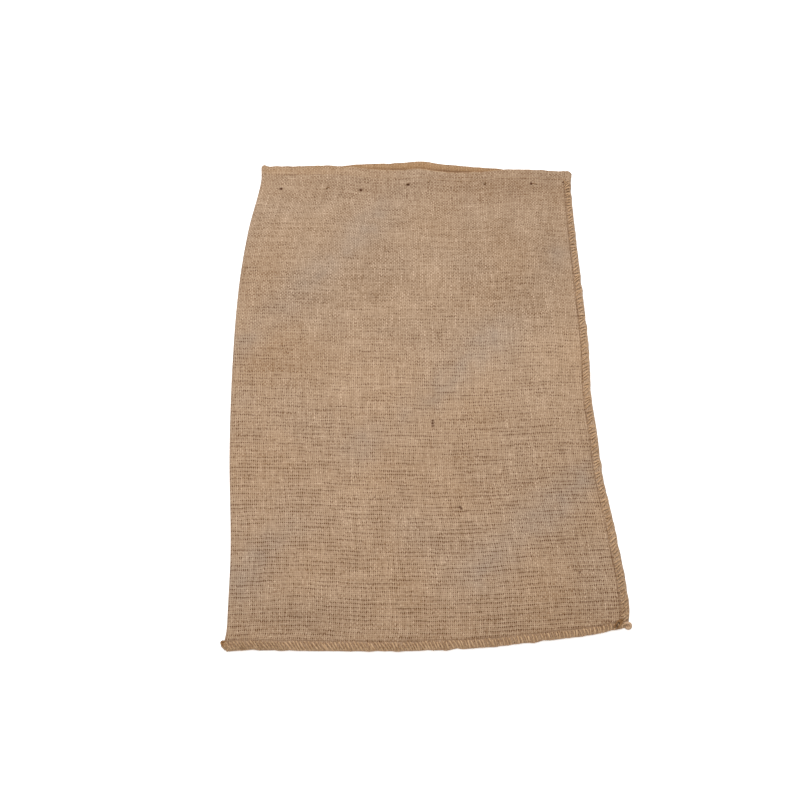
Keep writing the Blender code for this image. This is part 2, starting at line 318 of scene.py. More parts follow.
def outward(across, run):
    """Direction out of the sack at a place on its cloth."""
    step = 0.0004
    sideways = layer_place(min(across + step, WIDTH), run) - layer_place(max(across - step, -WIDTH), run)
    upwards = layer_place(across, run) - layer_place(across, run - step)
    return sideways.cross(upwards).normalized(), upwards.normalized()


def cloth_place(across, run):
    """Point on the outer side of the cloth. Past the mouth edge the run turns over and comes back inside."""
    if run <= EDGE_RUN:
        return layer_place(across, run)
    turn_radius = cloth_thickness(across, EDGE_RUN) + PLY_GAP / 2
    past = run - EDGE_RUN
    angle = min(past / turn_radius, math.pi)
    back = EDGE_RUN - max(past - math.pi * turn_radius, 0.0)
    out, up = outward(across, back)
    spot = layer_place(across, back) - out * turn_radius * (1 - math.cos(angle))
    return spot + up * turn_radius * math.sin(angle)


print("thickness of the cloth", CLOTH * 1000, "mm, mouth middle at", cloth_place(0.25, EDGE_RUN))

# %% [markdown]
# ## Grid lines of the sheet
#
# Even cells of about 4.5 mm carry the soft waves. Small features need their own lines: the bend of
# the fold, the rolled seam bands with the groove beside them, the hem's stitch line and its turned
# edge. The back lies on the table, so wider cells do for it.

# %% Lines across and along
FRONT_CELL = 0.0045
BACK_CELL = 0.0090
FOLD_LINES = (0.0, 0.0006, 0.0016, 0.0030, 0.0045, 0.0062)
SEAM_LINES = (
    0.0, 0.0004, 0.0012, 0.0024, 0.0042, 0.0062, 0.0082, 0.0098, 0.0108, 0.0118, 0.0128, 0.0138, 0.0155,
    0.0185, 0.0220,
)
HEM_LINES = (
    0.0, 0.0012, 0.0030, 0.0060, 0.0098, 0.0120, 0.0135, 0.0149, 0.0163, 0.0178, 0.0200, 0.0240, 0.0290,
    0.0325, 0.0340, 0.0350, 0.0360, 0.0375, 0.0400,
)
TURN_STEPS = 6
TURNED_CELL = 0.0035


def lines_between(start, first_lines, end, last_lines, cell):
    """Positions from start to end: the named lines near each edge, and even cells between them."""
    low = [start + line for line in first_lines]
    high = [end - line for line in reversed(last_lines)]
    cells = max(1, round((high[0] - low[-1]) / cell))
    step = (high[0] - low[-1]) / cells
    return low + [low[-1] + step * count for count in range(1, cells)] + high


front_lines = lines_between(0.0, FOLD_LINES, WIDTH, SEAM_LINES, FRONT_CELL)
back_lines = lines_between(0.0, FOLD_LINES, WIDTH, SEAM_LINES, BACK_CELL)
across_lines = [-line for line in reversed(back_lines[1:])] + front_lines
run_lines = lines_between(0.0, SEAM_LINES, EDGE_RUN, HEM_LINES, FRONT_CELL)
half_turn = math.pi * (CLOTH + PLY_GAP / 2)
run_lines += [EDGE_RUN + half_turn * (count + 1) / TURN_STEPS for count in range(TURN_STEPS)]
turned_cells = round(HEM_DEPTH / TURNED_CELL)
run_lines += [run_lines[-1] + HEM_DEPTH * (count + 1) / turned_cells for count in range(turned_cells)]
print(len(across_lines), "lines across and", len(run_lines), "lines along the cloth")

# %% [markdown]
# ## Tack holes
#
# The turned edge of the hem is caught down by a few hand tacks of twine. Each leaves a needle hole,
# darkened with painted shade, some with a bit of the twine standing in it. A few dark specks lie
# elsewhere, and hollows where the twine of the seam ends, also darkened with painted shade. The sheet
# gets finer cells round each of these places, so that a hole is a real dimple and not only a dark spot.

# %% Where the tacks are
# across and along on the laid sack, radius, darkness, depth of its dimple
Tack = namedtuple("Tack", "across along radius dark deep")
# needle holes of the tacks: their darkness is painted shade in the hole
TACKS = [Tack(*row) for row in (
    (-0.2066, 0.3084, 0.0019, 1.00, 0.8), (-0.1375, 0.3075, 0.0010, 0.45, 0.5),
    (-0.0866, 0.3040, 0.0020, 1.00, 0.8), (-0.0156, 0.3121, 0.0019, 1.00, 0.8),
    (0.0144, 0.3158, 0.0009, 0.50, 0.6), (0.0488, 0.3050, 0.0009, 0.50, 0.6),
    (0.0993, 0.3141, 0.0016, 0.65, 0.8), (0.1702, 0.3178, 0.0018, 1.00, 0.8),
    (0.1782, 0.3170, 0.0008, 0.55, 0.5), (0.1861, 0.3162, 0.0008, 0.50, 0.5),
    (0.2190, 0.3234, 0.0012, 0.90, 0.7), (0.2196, 0.3186, 0.0009, 0.75, 0.5),
    (0.2286, 0.3192, 0.0008, 0.60, 0.4),
)]
# dark specks of dirt, and five near 0.24 to 0.25 across and -0.33 along, round the loop corner, that are
# painted shade in the hollows of its twine
SPECKS = [Tack(*row) for row in (
    (0.0500, -0.1850, 0.0015, 0.85, 0.1), (0.0516, -0.1868, 0.0014, 0.80, 0.1),
    (0.2490, -0.3296, 0.0014, 0.80, 0.8), (0.2461, -0.3353, 0.0013, 0.85, 0.6),
    (0.2414, -0.3323, 0.0012, 0.85, 0.6), (0.2394, -0.3352, 0.0011, 0.80, 0.6),
    (0.2513, -0.3329, 0.0009, 0.80, 0.5), (0.1830, -0.1640, 0.0009, 0.60, 0.2),
    (0.1995, -0.2690, 0.0010, 0.80, 0.2), (-0.0610, -0.1720, 0.0009, 0.60, 0.2),
    (-0.2060, -0.2230, 0.0009, 0.55, 0.2), (0.0300, 0.1100, 0.0009, 0.50, 0.2),
    (-0.1370, 0.0300, 0.0009, 0.50, 0.2), (0.1310, 0.0720, 0.0009, 0.55, 0.2),
    (0.0500, 0.2874, 0.0010, 0.45, 0.2), (0.0450, 0.2635, 0.0010, 0.45, 0.2),
    (0.0162, -0.0652, 0.0014, 0.90, 0.1), (0.0162, -0.0690, 0.0015, 0.95, 0.1),
    (0.0164, -0.0728, 0.0013, 0.85, 0.1), (-0.0033, 0.1836, 0.0008, 0.50, 0.1),
)]
DARK_PLACES = TACKS + SPECKS


def hole_at(spot):
    """How deep a place is in a hole, from 0 to 1, and how dark it is there: painted shade in holes and
    hollows, dirt in specks.
    """
    deep, dark = 0.0, 0.0
    for place in DARK_PLACES:
        away = math.hypot(spot.x - place.across, spot.y - place.along) / place.radius
        if away < 4:
            deep = max(deep, math.exp(-away * away * 0.6) * place.deep)
            dark = max(dark, math.exp(-((away * 0.8) ** 4)) * place.dark)
    return deep, dark


print(len(TACKS), "tack holes along the hem and", len(SPECKS), "specks and hollows elsewhere")

# %% [markdown]
# ## Threads, counted
#
# Sacking has about 10 warp ends to the inch, and its picks lie in pairs with a gap between the pairs.
# The weave is drawn from thread numbers, so each corner of the mesh gets its warp end and its pick.
# On a used sack the picks bow: a table of how far they stray, at three heights, bends them here.

# %% Warp ends and picks
WARP_PITCH = 0.00256
PICK_PITCH = 0.00248
FIRST_PICK = -0.366
PICKS_TO_MOUTH = 290.0
# from the mouth edge: where picks begin to follow it, and over how far they turn to it
MOUTH_PICKS, PICK_BLEND = 0.150, 0.110
# first place across and step, heights of the three rows, and how far a pick strays, in millimetres
BOW_ACROSS = (-0.24, 0.04)
BOW_ALONG = (-0.26, -0.03, 0.20)
BOW_MM = (
    (-1.2, 0.0, 0.4, -1.2, -3.4, -4.1, -4.5, -4.6, -2.9, -0.5, 1.6, 3.8, 6.2),
    (1.3, -0.7, -2.3, -3.5, -4.3, -4.6, -5.7, -6.5, -5.9, -4.1, -1.5, 0.4, 1.2),
    (0.4, -0.8, -1.7, -2.9, -4.2, -4.3, -3.6, -3.5, -3.7, -3.3, -2.4, -1.9, -1.1),
)


def smooth_table(values, at):
    """Value of an even table at a place counted in its steps, on a smooth curve through them."""
    index = min(max(int(math.floor(at)), 0), len(values) - 2)
    t = min(max(at - index, 0.0), 1.0)
    before, start = values[max(index - 1, 0)], values[index]
    end, after = values[index + 1], values[min(index + 2, len(values) - 1)]
    climb, fall = (end - before) / 2, (after - start) / 2
    return hermite(start, climb, end, fall, t)


def bow_at(x, y):
    """How far a pick strays up the sack at a place."""
    first, step = BOW_ACROSS
    rows = [smooth_table(row, (x - first) / step) for row in BOW_MM]
    low, middle, high = BOW_ALONG
    if y < middle:
        share = smooth_share(y - low, middle - low)
        return 0.001 * (rows[0] + (rows[1] - rows[0]) * share)
    share = smooth_share(y - middle, high - middle)
    return 0.001 * (rows[1] + (rows[2] - rows[1]) * share)


def thread_numbers(across, run):
    """Warp end and pick at a place on the cloth."""
    back = min(run, EDGE_RUN)
    spot = on_plan(abs(across) / WIDTH, back / LENGTH, across >= 0)
    in_body = (spot.y - bow_at(spot.x, spot.y) - FIRST_PICK) / PICK_PITCH
    at_mouth = PICKS_TO_MOUTH - (EDGE_RUN - back) / PICK_PITCH
    share = smooth_share(back - (EDGE_RUN - MOUTH_PICKS), PICK_BLEND)
    return across / WARP_PITCH, in_body + (at_mouth - in_body) * share + (run - back) / PICK_PITCH


print("warp ends across the front:", round(WIDTH / WARP_PITCH), "picks to the mouth:", PICKS_TO_MOUTH)

# %% [markdown]
# ## What use has done to the cloth, and where shade is painted
#
# Jute is uneven. Where the weave has slipped open it shows rows of little dark holes, mostly towards
# the bottom. It bleaches greyish in patches, and stays golden where it was turned in: along the hem,
# inside the mouth and in the seams. Some darker places are painted shade instead: the troughs of a few
# soft folds, and the hem deep inside the mouth. Each of these is one number per corner of the mesh,
# which the material then reads, so that the weave in it can follow.

# %% Marks on the cloth
# across, along, half length, half width, turn of its run in degrees, strength
Mark = namedtuple("Mark", "across along half_length half_width turn strength")
COOL_MARKS = [Mark(*row) for row in (
    (-0.071, 0.249, 0.045, 0.026, 45, 0.9), (-0.098, 0.203, 0.030, 0.022, 40, 0.6),
    (-0.146, 0.163, 0.034, 0.022, 35, 0.8), (-0.191, 0.103, 0.036, 0.022, 35, 0.5),
    (-0.243, 0.052, 0.030, 0.020, 50, 0.8), (0.098, 0.058, 0.038, 0.026, 45, 0.9),
    (0.058, 0.010, 0.036, 0.024, 45, 0.8), (0.022, -0.028, 0.032, 0.024, 40, 0.7),
    (-0.021, -0.058, 0.025, 0.020, 40, 0.4), (-0.074, -0.100, 0.036, 0.026, 45, 0.8),
    (0.205, 0.193, 0.022, 0.022, 10, 0.7), (0.214, -0.146, 0.032, 0.022, 45, 0.9),
    (0.179, -0.182, 0.036, 0.026, 45, 0.7), (0.147, -0.202, 0.034, 0.024, 30, 0.6),
    (0.092, -0.254, 0.042, 0.028, 40, 0.8), (0.069, -0.279, 0.025, 0.020, 40, 0.4),
    (-0.176, -0.222, 0.034, 0.022, 20, 0.6), (-0.204, -0.247, 0.030, 0.020, 40, 0.4),
    (-0.226, -0.281, 0.034, 0.024, 60, 0.8), (-0.241, -0.030, 0.020, 0.020, 0, 0.4),
)]
# darker, browner places, and paler ones with a strength below 0; the first three lie along the troughs of
# soft folds and are painted shade
TONE_AND_SHADE_MARKS = [Mark(*row) for row in (
    (0.150, 0.313, 0.080, 0.010, -2, 0.50), (-0.205, 0.010, 0.055, 0.008, 2, 0.45),
    (-0.145, 0.111, 0.045, 0.007, 0, 0.40), (-0.050, -0.162, 0.050, 0.008, -4, 0.45),
    (0.200, -0.255, 0.050, 0.070, 60, 0.40), (-0.225, -0.290, 0.040, 0.050, 0, 0.20),
    (0.150, 0.215, 0.100, 0.090, 0, 0.45), (-0.180, 0.190, 0.070, 0.050, 0, 0.40),
    (-0.190, 0.080, 0.060, 0.055, 0, 0.60), (0.085, 0.308, 0.045, 0.016, 0, 0.80),
    (-0.075, 0.155, 0.045, 0.030, 0, 0.80), (0.130, 0.100, 0.060, 0.045, 0, 0.60),
    (-0.201, 0.020, 0.050, 0.045, 0, 0.70), (-0.042, 0.144, 0.030, 0.020, 0, 0.60),
    (0.155, -0.155, 0.040, 0.030, 0, 0.70), (0.030, -0.235, 0.050, 0.030, 0, 0.35),
    (0.160, 0.118, 0.050, 0.030, 0, 0.30), (-0.190, -0.150, 0.050, 0.035, 0, 0.40),
    (-0.152, 0.078, 0.022, 0.020, 0, -0.90), (0.192, -0.005, 0.035, 0.060, 0, -0.55),
    (-0.020, 0.268, 0.060, 0.016, 0, -0.25), (-0.072, -0.195, 0.025, 0.035, 0, -0.50),
    (0.095, -0.028, 0.050, 0.025, 0, -0.40), (-0.095, 0.336, 0.060, 0.012, 0, -0.55),
    (0.050, 0.291, 0.110, 0.011, 0, 0.35),
)]


def strength_at(spot, marks):
    """The marks at a place, added up."""
    return sum(mark.strength * bell(spot, mark) for mark in marks)


def soft_noise(spot, length, seed):
    """Smooth noise whose patches are about as long as the given length."""
    return noise.noise(Vector((spot.x / length, spot.y / length, seed)))


def marks_at(across, run):
    """tone, gold, cool and open at a place on the cloth, each from 0 to 1."""
    back = min(run, EDGE_RUN)
    spot = on_plan(abs(across) / WIDTH, back / LENGTH, across >= 0)
    from_side, from_mouth = WIDTH - abs(across), EDGE_RUN - back
    # how pale or brown: slow changes, streaks along the picks, and darker places, some of them painted shade
    # in fold troughs
    tone = 0.5 + 0.18 * soft_noise(spot, 0.120, 2.0) + 0.16 * soft_noise(spot, 0.035, 4.0)
    tone += 0.10 * noise.noise(Vector((spot.x / 0.040, spot.y / 0.009, 5.0)))
    tone -= 0.35 * strength_at(spot, TONE_AND_SHADE_MARKS) * (across >= 0)
    # change of the tone near an edge, where it begins to fade, and over how far
    for change, distance, start, reach in (
        (-0.16, from_mouth, 0.020, 0.050), (-0.13, from_mouth, 0.100, 0.220), (-0.17, run, 0.012, 0.070),
        (0.05, from_side, 0.006, 0.008),
    ):
        tone += change * (1 - smooth_share(distance - start, reach))
    # golden towards the bottom, and where the cloth was turned in
    gold = 0.31 + 0.18 * soft_noise(spot, 0.090, 6.0) - 0.17 * smooth_share(spot.y + 0.020, 0.160)
    hem_gold = (1 - smooth_share(from_mouth - 0.010, 0.008)) * (1 - smooth_share(spot.x + 0.170, 0.180))
    gold += 0.28 * hem_gold + 0.20 * (1 - smooth_share(run, 0.016))
    gold += 0.10 * (1 - smooth_share(from_side, 0.014))
    # bleached greyish in patches, and along the fold
    cool = 0.20 * max(0.0, soft_noise(spot, 0.050, 8.0))
    cool += strength_at(spot, COOL_MARKS) * (0.75 + 0.5 * soft_noise(spot, 0.016, 9.0)) * (across >= 0)
    cool += 0.45 * (1 - smooth_share(abs(across), 0.005))
    # the weave slips open towards the bottom, and along the hem's thread, but not in hem and seams
    height = smooth_share(-(spot.y - 0.290), 0.520)
    opened = 0.04 + 0.54 * height + 0.18 * soft_noise(spot, 0.060, 10.0)
    opened += 0.16 * soft_noise(spot, 0.022, 11.0)
    opened *= smooth_share(from_mouth - 0.018, 0.020) * smooth_share(from_side - 0.011, 0.004)
    opened *= smooth_share(run - 0.011, 0.004)
    hem_row = 0.62 + 0.9 * soft_noise(spot, 0.030, 14.0)
    opened = max(opened, hem_row * near_line(from_mouth, HEM_STITCH, 0.0017))
    # the turned hem, seen inside the mouth: golden, and painted darker the deeper it lies, a painted shade
    if run > EDGE_RUN:
        inwards = (run - EDGE_RUN) / (0.004 + 0.020 * open_share(abs(across) / WIDTH))
        tone = 0.30 + 0.5 * (tone - 0.5) - 0.3 * smooth_share(inwards - 0.10, 0.70)
        gold, opened = 0.60 + 0.40 * smooth_share(inwards, 0.50), 0.0
    return tuple(min(max(value, 0.0), 1.0) for value in (tone, gold, cool, opened))


print("marks in the middle of the front:", [round(value, 2) for value in marks_at(0.25, 0.35)])

# %% [markdown]
# ## Making the sheet
#
# A flat grid is laid out by those functions. Its cells round the tacks are divided, and every corner
# is placed again. A copy of it, turned inside out and set in by the cloth's thickness, is the other
# face, and bridging the two rims closes the sheet. Three maps go on it: thread numbers for the weave,
# distances from the edges for hem and seam lines, and a tidy page without overlaps. Inside the mouth
# the lip of the front keeps the light out, so there the hem is darkened with painted shade, unevenly
# and most in its creases.

# %% Build the cloth
MARK_NAMES = ("tone", "gold", "cool", "open", "dark")
# painted shade of the turned hem at the rim and under the lip, and how much noise mottles and creases it
MOUTH_SHADE, MOUTH_DARK = 0.05, 0.32
MOUTH_MOTTLE, MOUTH_CREASE = 1.1, 0.9
# run that always shows inside the mouth, and share of the lip's step that shows with it
MOUTH_LEAST, MOUTH_SEEN = 0.002, 0.66
DIMPLE_DEEP = 0.0016
# how far from the mouth edge the holes and their finer cells end
TURN_CLEAR = 0.012
# reach round a hole, and how often its edges are cut, for finer cells and then the finest
FINE_CELLS = ((0.0065, 3), (0.0032, 1))
# half width of the cloth on its page, and the page's heights for its outer and its inner face
PAGE_HALF, OUTER_PAGE, INNER_PAGE = 0.494, (0.005, 0.820), (0.835, 0.995)


def finish_mesh(name, bm, finish, sharp=50):
    """Mesh object from a bmesh, smooth shaded, with its material."""
    mesh = bpy.data.meshes.new(name)
    bm.to_mesh(mesh)
    bm.free()
    mesh.materials.append(finish)
    mesh.shade_smooth()
    mesh.set_sharp_from_angle(angle=math.radians(sharp))
    piece = bpy.data.objects.new(name, mesh)
    bpy.context.scene.collection.objects.link(piece)
    return piece


def painted_mouth_shade(across, run):
    """Painted shade of the turned hem inside the mouth: pale at the rim, dark where the lip covers it."""
    covered_from = MOUTH_LEAST + MOUTH_SEEN * MOUTH_STEP * open_share(abs(across) / WIDTH)
    share = max(run - EDGE_RUN, 0.0) / covered_from
    mottled = 1 + MOUTH_MOTTLE * noise.noise(Vector((across / 0.020, run / 0.010, 71.0)))
    creased = MOUTH_CREASE * max(0.0, noise.noise(Vector((across / 0.016, 0.0, 72.0))))
    deep = MOUTH_DARK * mottled + creased * smooth_share(share - 0.75, 0.20)
    return MOUTH_SHADE * smooth_share(share, 0.30) + deep * smooth_share(share - 0.55, 0.35)


def on_front(across, run):
    """Whether a place is on the outside of the front, clear of the turn at the mouth."""
    return across > 0 and run < EDGE_RUN - TURN_CLEAR


def place_cloth(verts, layers):
    """Put each corner where its two distances say, with the tack holes pressed in."""
    for vert in verts:
        across, run = vert[layers["across"]], vert[layers["run"]]
        vert.co = cloth_place(across, run)
        if on_front(across, run):
            vert.co.z -= DIMPLE_DEEP * hole_at(vert.co)[0]


def divide_near_tacks(bm, layers, reach, cuts):
    """Divide the edges of the upper outer layer within a reach of a tack."""
    edges = []
    for edge in bm.edges:
        if all(on_front(v[layers["across"]], v[layers["run"]]) for v in edge.verts):
            middle = (edge.verts[0].co + edge.verts[1].co) / 2
            if any(math.hypot(middle.x - t.across, middle.y - t.along) < reach for t in DARK_PLACES):
                edges.append(edge)
    bmesh.ops.subdivide_edges(bm, edges=edges, cuts=cuts, use_grid_fill=True)
    place_cloth(bm.verts, layers)


def add_maps(bm, layers, outer_count):
    """Thread numbers, distances from the edges in millimetres, and a page with no overlaps."""
    threads = bm.loops.layers.uv.new("threads")
    edges = bm.loops.layers.uv.new("edges")
    page = bm.loops.layers.uv.new("OFBake")
    last_run = run_lines[-1]
    bm.verts.index_update()
    numbers = {}
    for vert in bm.verts:
        across, run = vert[layers["across"]], vert[layers["run"]]
        numbers[vert.index] = thread_numbers(across, run)
        marks = marks_at(across, run)
        # painted shade in holes and hollows, dirt in specks, and painted shade under the lip inside the
        # mouth
        dark = hole_at(vert.co)[1] if on_front(across, run) else painted_mouth_shade(across, run)
        for name, value in zip(MARK_NAMES, (*marks, dark)):
            vert[layers[name]] = value
    for face in bm.faces:
        inner = all(vert.index >= outer_count for vert in face.verts)
        for loop in face.loops:
            vert = loop.vert
            across, run = vert[layers["across"]], vert[layers["run"]]
            loop[threads].uv = numbers[vert.index]
            loop[edges].uv = ((WIDTH - abs(across)) * 1000, (EDGE_RUN - run) * 1000)
            low, high = INNER_PAGE if inner else OUTER_PAGE
            loop[page].uv = (0.5 + across / WIDTH * PAGE_HALF, low + (high - low) * run / last_run)


def build_cloth(finish):
    """The whole sheet, folded, with both its faces and all its maps."""
    bm = bmesh.new()
    layers = {name: bm.verts.layers.float.new(name) for name in ("across", "run", *MARK_NAMES)}
    columns, rows = len(across_lines) - 1, len(run_lines) - 1
    grid = bmesh.ops.create_grid(bm, x_segments=columns, y_segments=rows, size=1.0)
    for index, vert in enumerate(grid["verts"]):
        row, column = divmod(index, len(across_lines))
        vert[layers["across"]], vert[layers["run"]] = across_lines[column], run_lines[row]
    place_cloth(bm.verts, layers)
    for reach, cuts in FINE_CELLS:
        divide_near_tacks(bm, layers, reach, cuts)
    bm.normal_update()
    outer_count = len(bm.verts)
    bm.verts.index_update()
    outer = {vert.index: (vert.co.copy(), vert.normal.copy()) for vert in bm.verts}
    copy = bmesh.ops.duplicate(bm, geom=bm.verts[:] + bm.edges[:] + bm.faces[:])
    inner_verts = [item for item in copy["geom"] if isinstance(item, bmesh.types.BMVert)]
    inner_faces = [item for item in copy["geom"] if isinstance(item, bmesh.types.BMFace)]
    bmesh.ops.reverse_faces(bm, faces=inner_faces)
    for (spot, normal), vert in zip(outer.values(), inner_verts):
        thickness = cloth_thickness(vert[layers["across"]], min(vert[layers["run"]], EDGE_RUN))
        vert.co = spot - normal * thickness
    rim = [edge for edge in bm.edges if edge.is_boundary]
    bmesh.ops.bridge_loops(bm, edges=rim)
    add_maps(bm, layers, outer_count)
    print("cloth:", len(bm.faces), "faces, open edges:", sum(edge.is_boundary for edge in bm.edges))
    return finish_mesh("sack_cloth_hessian", bm, finish)

# %% [markdown]
# ## One helper for materials
#
# A material is a small network of nodes. This one function adds a node, gives it its settings, and
# fills its inputs, in order or by name, with another node's output or with a plain value. A MapRange
# node, for one, takes in order a value, the ends of its range, and the ends of the new one, which are 0
# and 1 if not given. Each new material hands the function over with its own network filled in. Colours
# are written as a designer would, in hexadecimal, and turned to the linear numbers of Blender.

# %% Nodes and colours
def linear(hex_colour):
    """sRGB hexadecimal to a linear colour with full opacity."""
    shades = [int(hex_colour[place : place + 2], 16) / 255 for place in (1, 3, 5)]
    return (*[s / 12.92 if s <= 0.04045 else ((s + 0.055) / 1.055) ** 2.4 for s in shades], 1.0)


def add(tree, kind, inputs=(), out=0, **settings):
    """Add a node with its settings, and its inputs filled in order or by name. Gives one of its outputs."""
    node = tree.nodes.new("ShaderNode" + kind)
    for name, value in settings.items():
        setattr(node, name, value)
    for name, value in inputs.items() if isinstance(inputs, dict) else enumerate(inputs):
        if isinstance(value, bpy.types.NodeSocket):
            tree.links.new(value, node.inputs[name])
        else:
            node.inputs[name].default_value = value
    return node.outputs[out] if node.outputs else None


def new_material(name):
    """An empty material, and the helper above with its node tree filled in."""
    material = bpy.data.materials.new(name)
    material.use_nodes = True
    material.node_tree.nodes.clear()
    return material, functools.partial(add, material.node_tree)


print("golden jute in linear light:", [round(shade, 3) for shade in linear("#c4975c")])

# %% [markdown]
# ## Hessian: plain-woven jute
#
# Jute yarn is coarse, dull and uneven, from pale straw to brown. Plain weave passes each warp end
# over one pick and under the next. The product of two sine waves, one counting ends and one counting
# picks, is positive where the end is on top and negative where the pick is. Two noises make the
# threads wander, one slowly and one from thread to thread. Nothing here is smooth or glossy, so the
# light comes back soft and even.

# %% Hessian: thread waves
CROSSING_LIFT = 0.55
PAIRING = 0.10

hessian, weave = new_material("hessian_plain_woven_jute")
threads = weave("UVMap", uv_map="threads")
strayed = threads
# how many ends and picks a waver spans, the detail of its noise, and how many threads it moves them
for (ends, picks), detail, reach in (((11, 13), 1.0, (1.6, 1.3, 0.0)), ((3.3, 4.1), 0.0, (0.7, 0.5, 0.0))):
    waver = weave("VectorMath", (threads, (1 / ends, 1 / picks, 0.0)), operation="MULTIPLY")
    waver = weave("TexNoise", {"Vector": waver, "Scale": 1.0, "Detail": detail}, out=1)
    waver = weave("VectorMath", (waver, (0.5, 0.5, 0.5)), operation="SUBTRACT")
    waver = weave("VectorMath", (waver, reach), operation="MULTIPLY")
    strayed = weave("VectorMath", (strayed, waver), operation="ADD")
end, loose_pick = (weave("SeparateXYZ", (strayed,), out=axis) for axis in (0, 1))

half_turns = weave("Math", (loose_pick, math.pi), operation="MULTIPLY")
pairing = weave("Math", (half_turns,), operation="SINE")
pick = weave("Math", (pairing, -PAIRING, loose_pick), operation="MULTIPLY_ADD")

waves, rounds = [], []
for thread in (end, pick):
    angle = weave("Math", (thread, math.pi), operation="MULTIPLY")
    waves.append(weave("Math", (angle,), operation="SINE"))
    rounds.append(weave("Math", (waves[-1],), operation="ABSOLUTE"))
crossing = weave("Math", waves, operation="MULTIPLY")
end_height = weave("Math", (crossing, CROSSING_LIFT, rounds[0]), operation="MULTIPLY_ADD")
pick_height = weave("Math", (crossing, -CROSSING_LIFT, rounds[1]), operation="MULTIPLY_ADD")
yarn_height = weave("Math", (end_height, pick_height), operation="MAXIMUM")
end_on_top = weave("Math", (end_height, pick_height), operation="SUBTRACT")
end_on_top = weave("MapRange", (end_on_top, -0.15, 0.15))
print("hessian has", len(hessian.node_tree.nodes), "nodes for its threads")

# %% [markdown]
# ## Hessian: the open places
#
# Where four threads meet there can be a hole, and a used sack has them in runs along a pick and in
# chains up an end. So each hole gets its own whole-number place, and four noises read that place: one
# stretched along the picks, one stretched up the ends, one in patches, and one different for every
# hole. Their sum, with the slackness of the cloth there, says how far the hole opens.

# %% Hessian: holes between the threads
hole_place = weave("VectorMath", (strayed, (1.0, 0.5, 0.0)), operation="MULTIPLY")
hole_place = weave("VectorMath", (hole_place, (0.5, 0.5, 0.0)), operation="ADD")
hole_number = weave("VectorMath", (hole_place,), operation="FLOOR")
hole_noises = []
# steps of the noise across and along, its detail, and its weight
for steps, detail, weight in (
    ((1 / 14, 3.31, 0.0), 0.0, 1.4), ((3.71, 1 / 6, 0.0), 0.0, 1.0), ((1 / 22, 1 / 11, 0.0), 1.0, 0.4),
):
    spot = weave("VectorMath", (hole_number, steps), operation="MULTIPLY")
    hole_noises.append((weave("TexNoise", {"Vector": spot, "Scale": 1.0, "Detail": detail}), weight))
run_share, chain_share = hole_noises[0][0], hole_noises[1][0]
hole_noises.append((weave("TexWhiteNoise", {"Vector": hole_number}, noise_dimensions="2D"), 1.15))
slackness = weave("Attribute", out=2, attribute_name="open")
openness = slackness
for share, weight in hole_noises:
    centred = weave("Math", (share, 0.5), operation="SUBTRACT")
    openness = weave("Math", (centred, weight, openness), operation="MULTIPLY_ADD")
openness = weave("MapRange", (openness, 0.10, 1.05))

end_gap = weave("Math", (waves[0], waves[0]), operation="MULTIPLY")
end_gap = weave("Math", (1.0, end_gap), operation="SUBTRACT")
pair_angle = weave("Math", (loose_pick, math.pi / 2), operation="MULTIPLY")
pair_gap = weave("Math", (pair_angle,), operation="COSINE")
pair_gap = weave("Math", (pair_gap, pair_gap), operation="MULTIPLY")
pair_gap = weave("Math", (pair_gap, 1.6), operation="POWER")
gap = weave("Math", (end_gap, pair_gap), operation="MULTIPLY")
gap_edge = weave("Math", (openness, -0.70, 0.98), operation="MULTIPLY_ADD")
gap_full = weave("Math", (gap_edge, 0.30), operation="ADD")
hole = weave("MapRange", (gap, gap_edge, gap_full))
print("hessian has", len(hessian.node_tree.nodes), "nodes with its holes")

# %% [markdown]
# ## Hessian: colour of the yarns
#
# No two lengths of jute yarn are alike. Each warp end gets its own tint, which changes slowly up its
# length, and each pick its own across. Pale slubs, thick soft places in the yarn, show as short light
# streaks. Fine fibres run along each thread. At each crossing the thread on top also differs a little
# from the last one. All of it adds up to one number, which picks a shade from brown to pale.

# %% Hessian: tints
JUTE_PALE = linear("#c9af96")
JUTE_MIDDLE = linear("#a99078")
JUTE_BROWN = linear("#7c6048")

end_number, pick_number = (weave("Math", (thread,), operation="FLOOR") for thread in (end, pick))
end_length = weave("CombineXYZ", (end_number, pick))
pick_length = weave("CombineXYZ", (end, pick_number))
crossing_number = weave("CombineXYZ", (end_number, pick_number))
traits = []
# for the tint, the slubs and the fibres: what they follow on a pick and on an end, with the steps of
# their noise, and its detail
for on_pick, on_end, detail in (
    ((pick_length, (1 / 50, 3.7, 5.0)), (end_length, (3.7, 1 / 40, 0.0)), 2.0),
    ((pick_length, (1 / 9, 5.3, 7.0)), (end_length, (5.3, 1 / 9, 2.0)), 1.0),
    ((strayed, (1.1, 9.0, 4.0)), (strayed, (9.0, 1.1, 0.0)), 2.0),
):
    pick_spot, end_spot = (weave("VectorMath", place, operation="MULTIPLY") for place in (on_pick, on_end))
    pick_noise = weave("TexNoise", {"Vector": pick_spot, "Scale": 1.0, "Detail": detail})
    end_noise = weave("TexNoise", {"Vector": end_spot, "Scale": 1.0, "Detail": detail})
    traits.append(weave("Mix", {0: end_on_top, 2: pick_noise, 3: end_noise}, data_type="FLOAT"))
yarn_tint, slub, fibres = traits
slub = weave("MapRange", (slub, 0.56, 0.74))
own_tint = weave("TexWhiteNoise", {"Vector": crossing_number}, noise_dimensions="2D")

tone = weave("Attribute", out=2, attribute_name="tone")
tightness = weave("Math", (slackness, -0.55, 0.50), operation="MULTIPLY_ADD")
crown = weave("Math", (end_on_top, 0.5), operation="SUBTRACT")
shade = weave("Math", (yarn_tint, 1.45, -1.265), operation="MULTIPLY_ADD")
for share, weight in ((crown, tightness), (fibres, 0.9), (tone, 0.80), (own_tint, 0.55), (slub, 0.48)):
    shade = weave("Math", (share, weight, shade), operation="MULTIPLY_ADD")
pale_share = weave("MapRange", (shade, 0.55, 1.35))
brown_share = weave("MapRange", (shade, 0.45, -0.25))
print("hessian has", len(hessian.node_tree.nodes), "nodes with its tints")
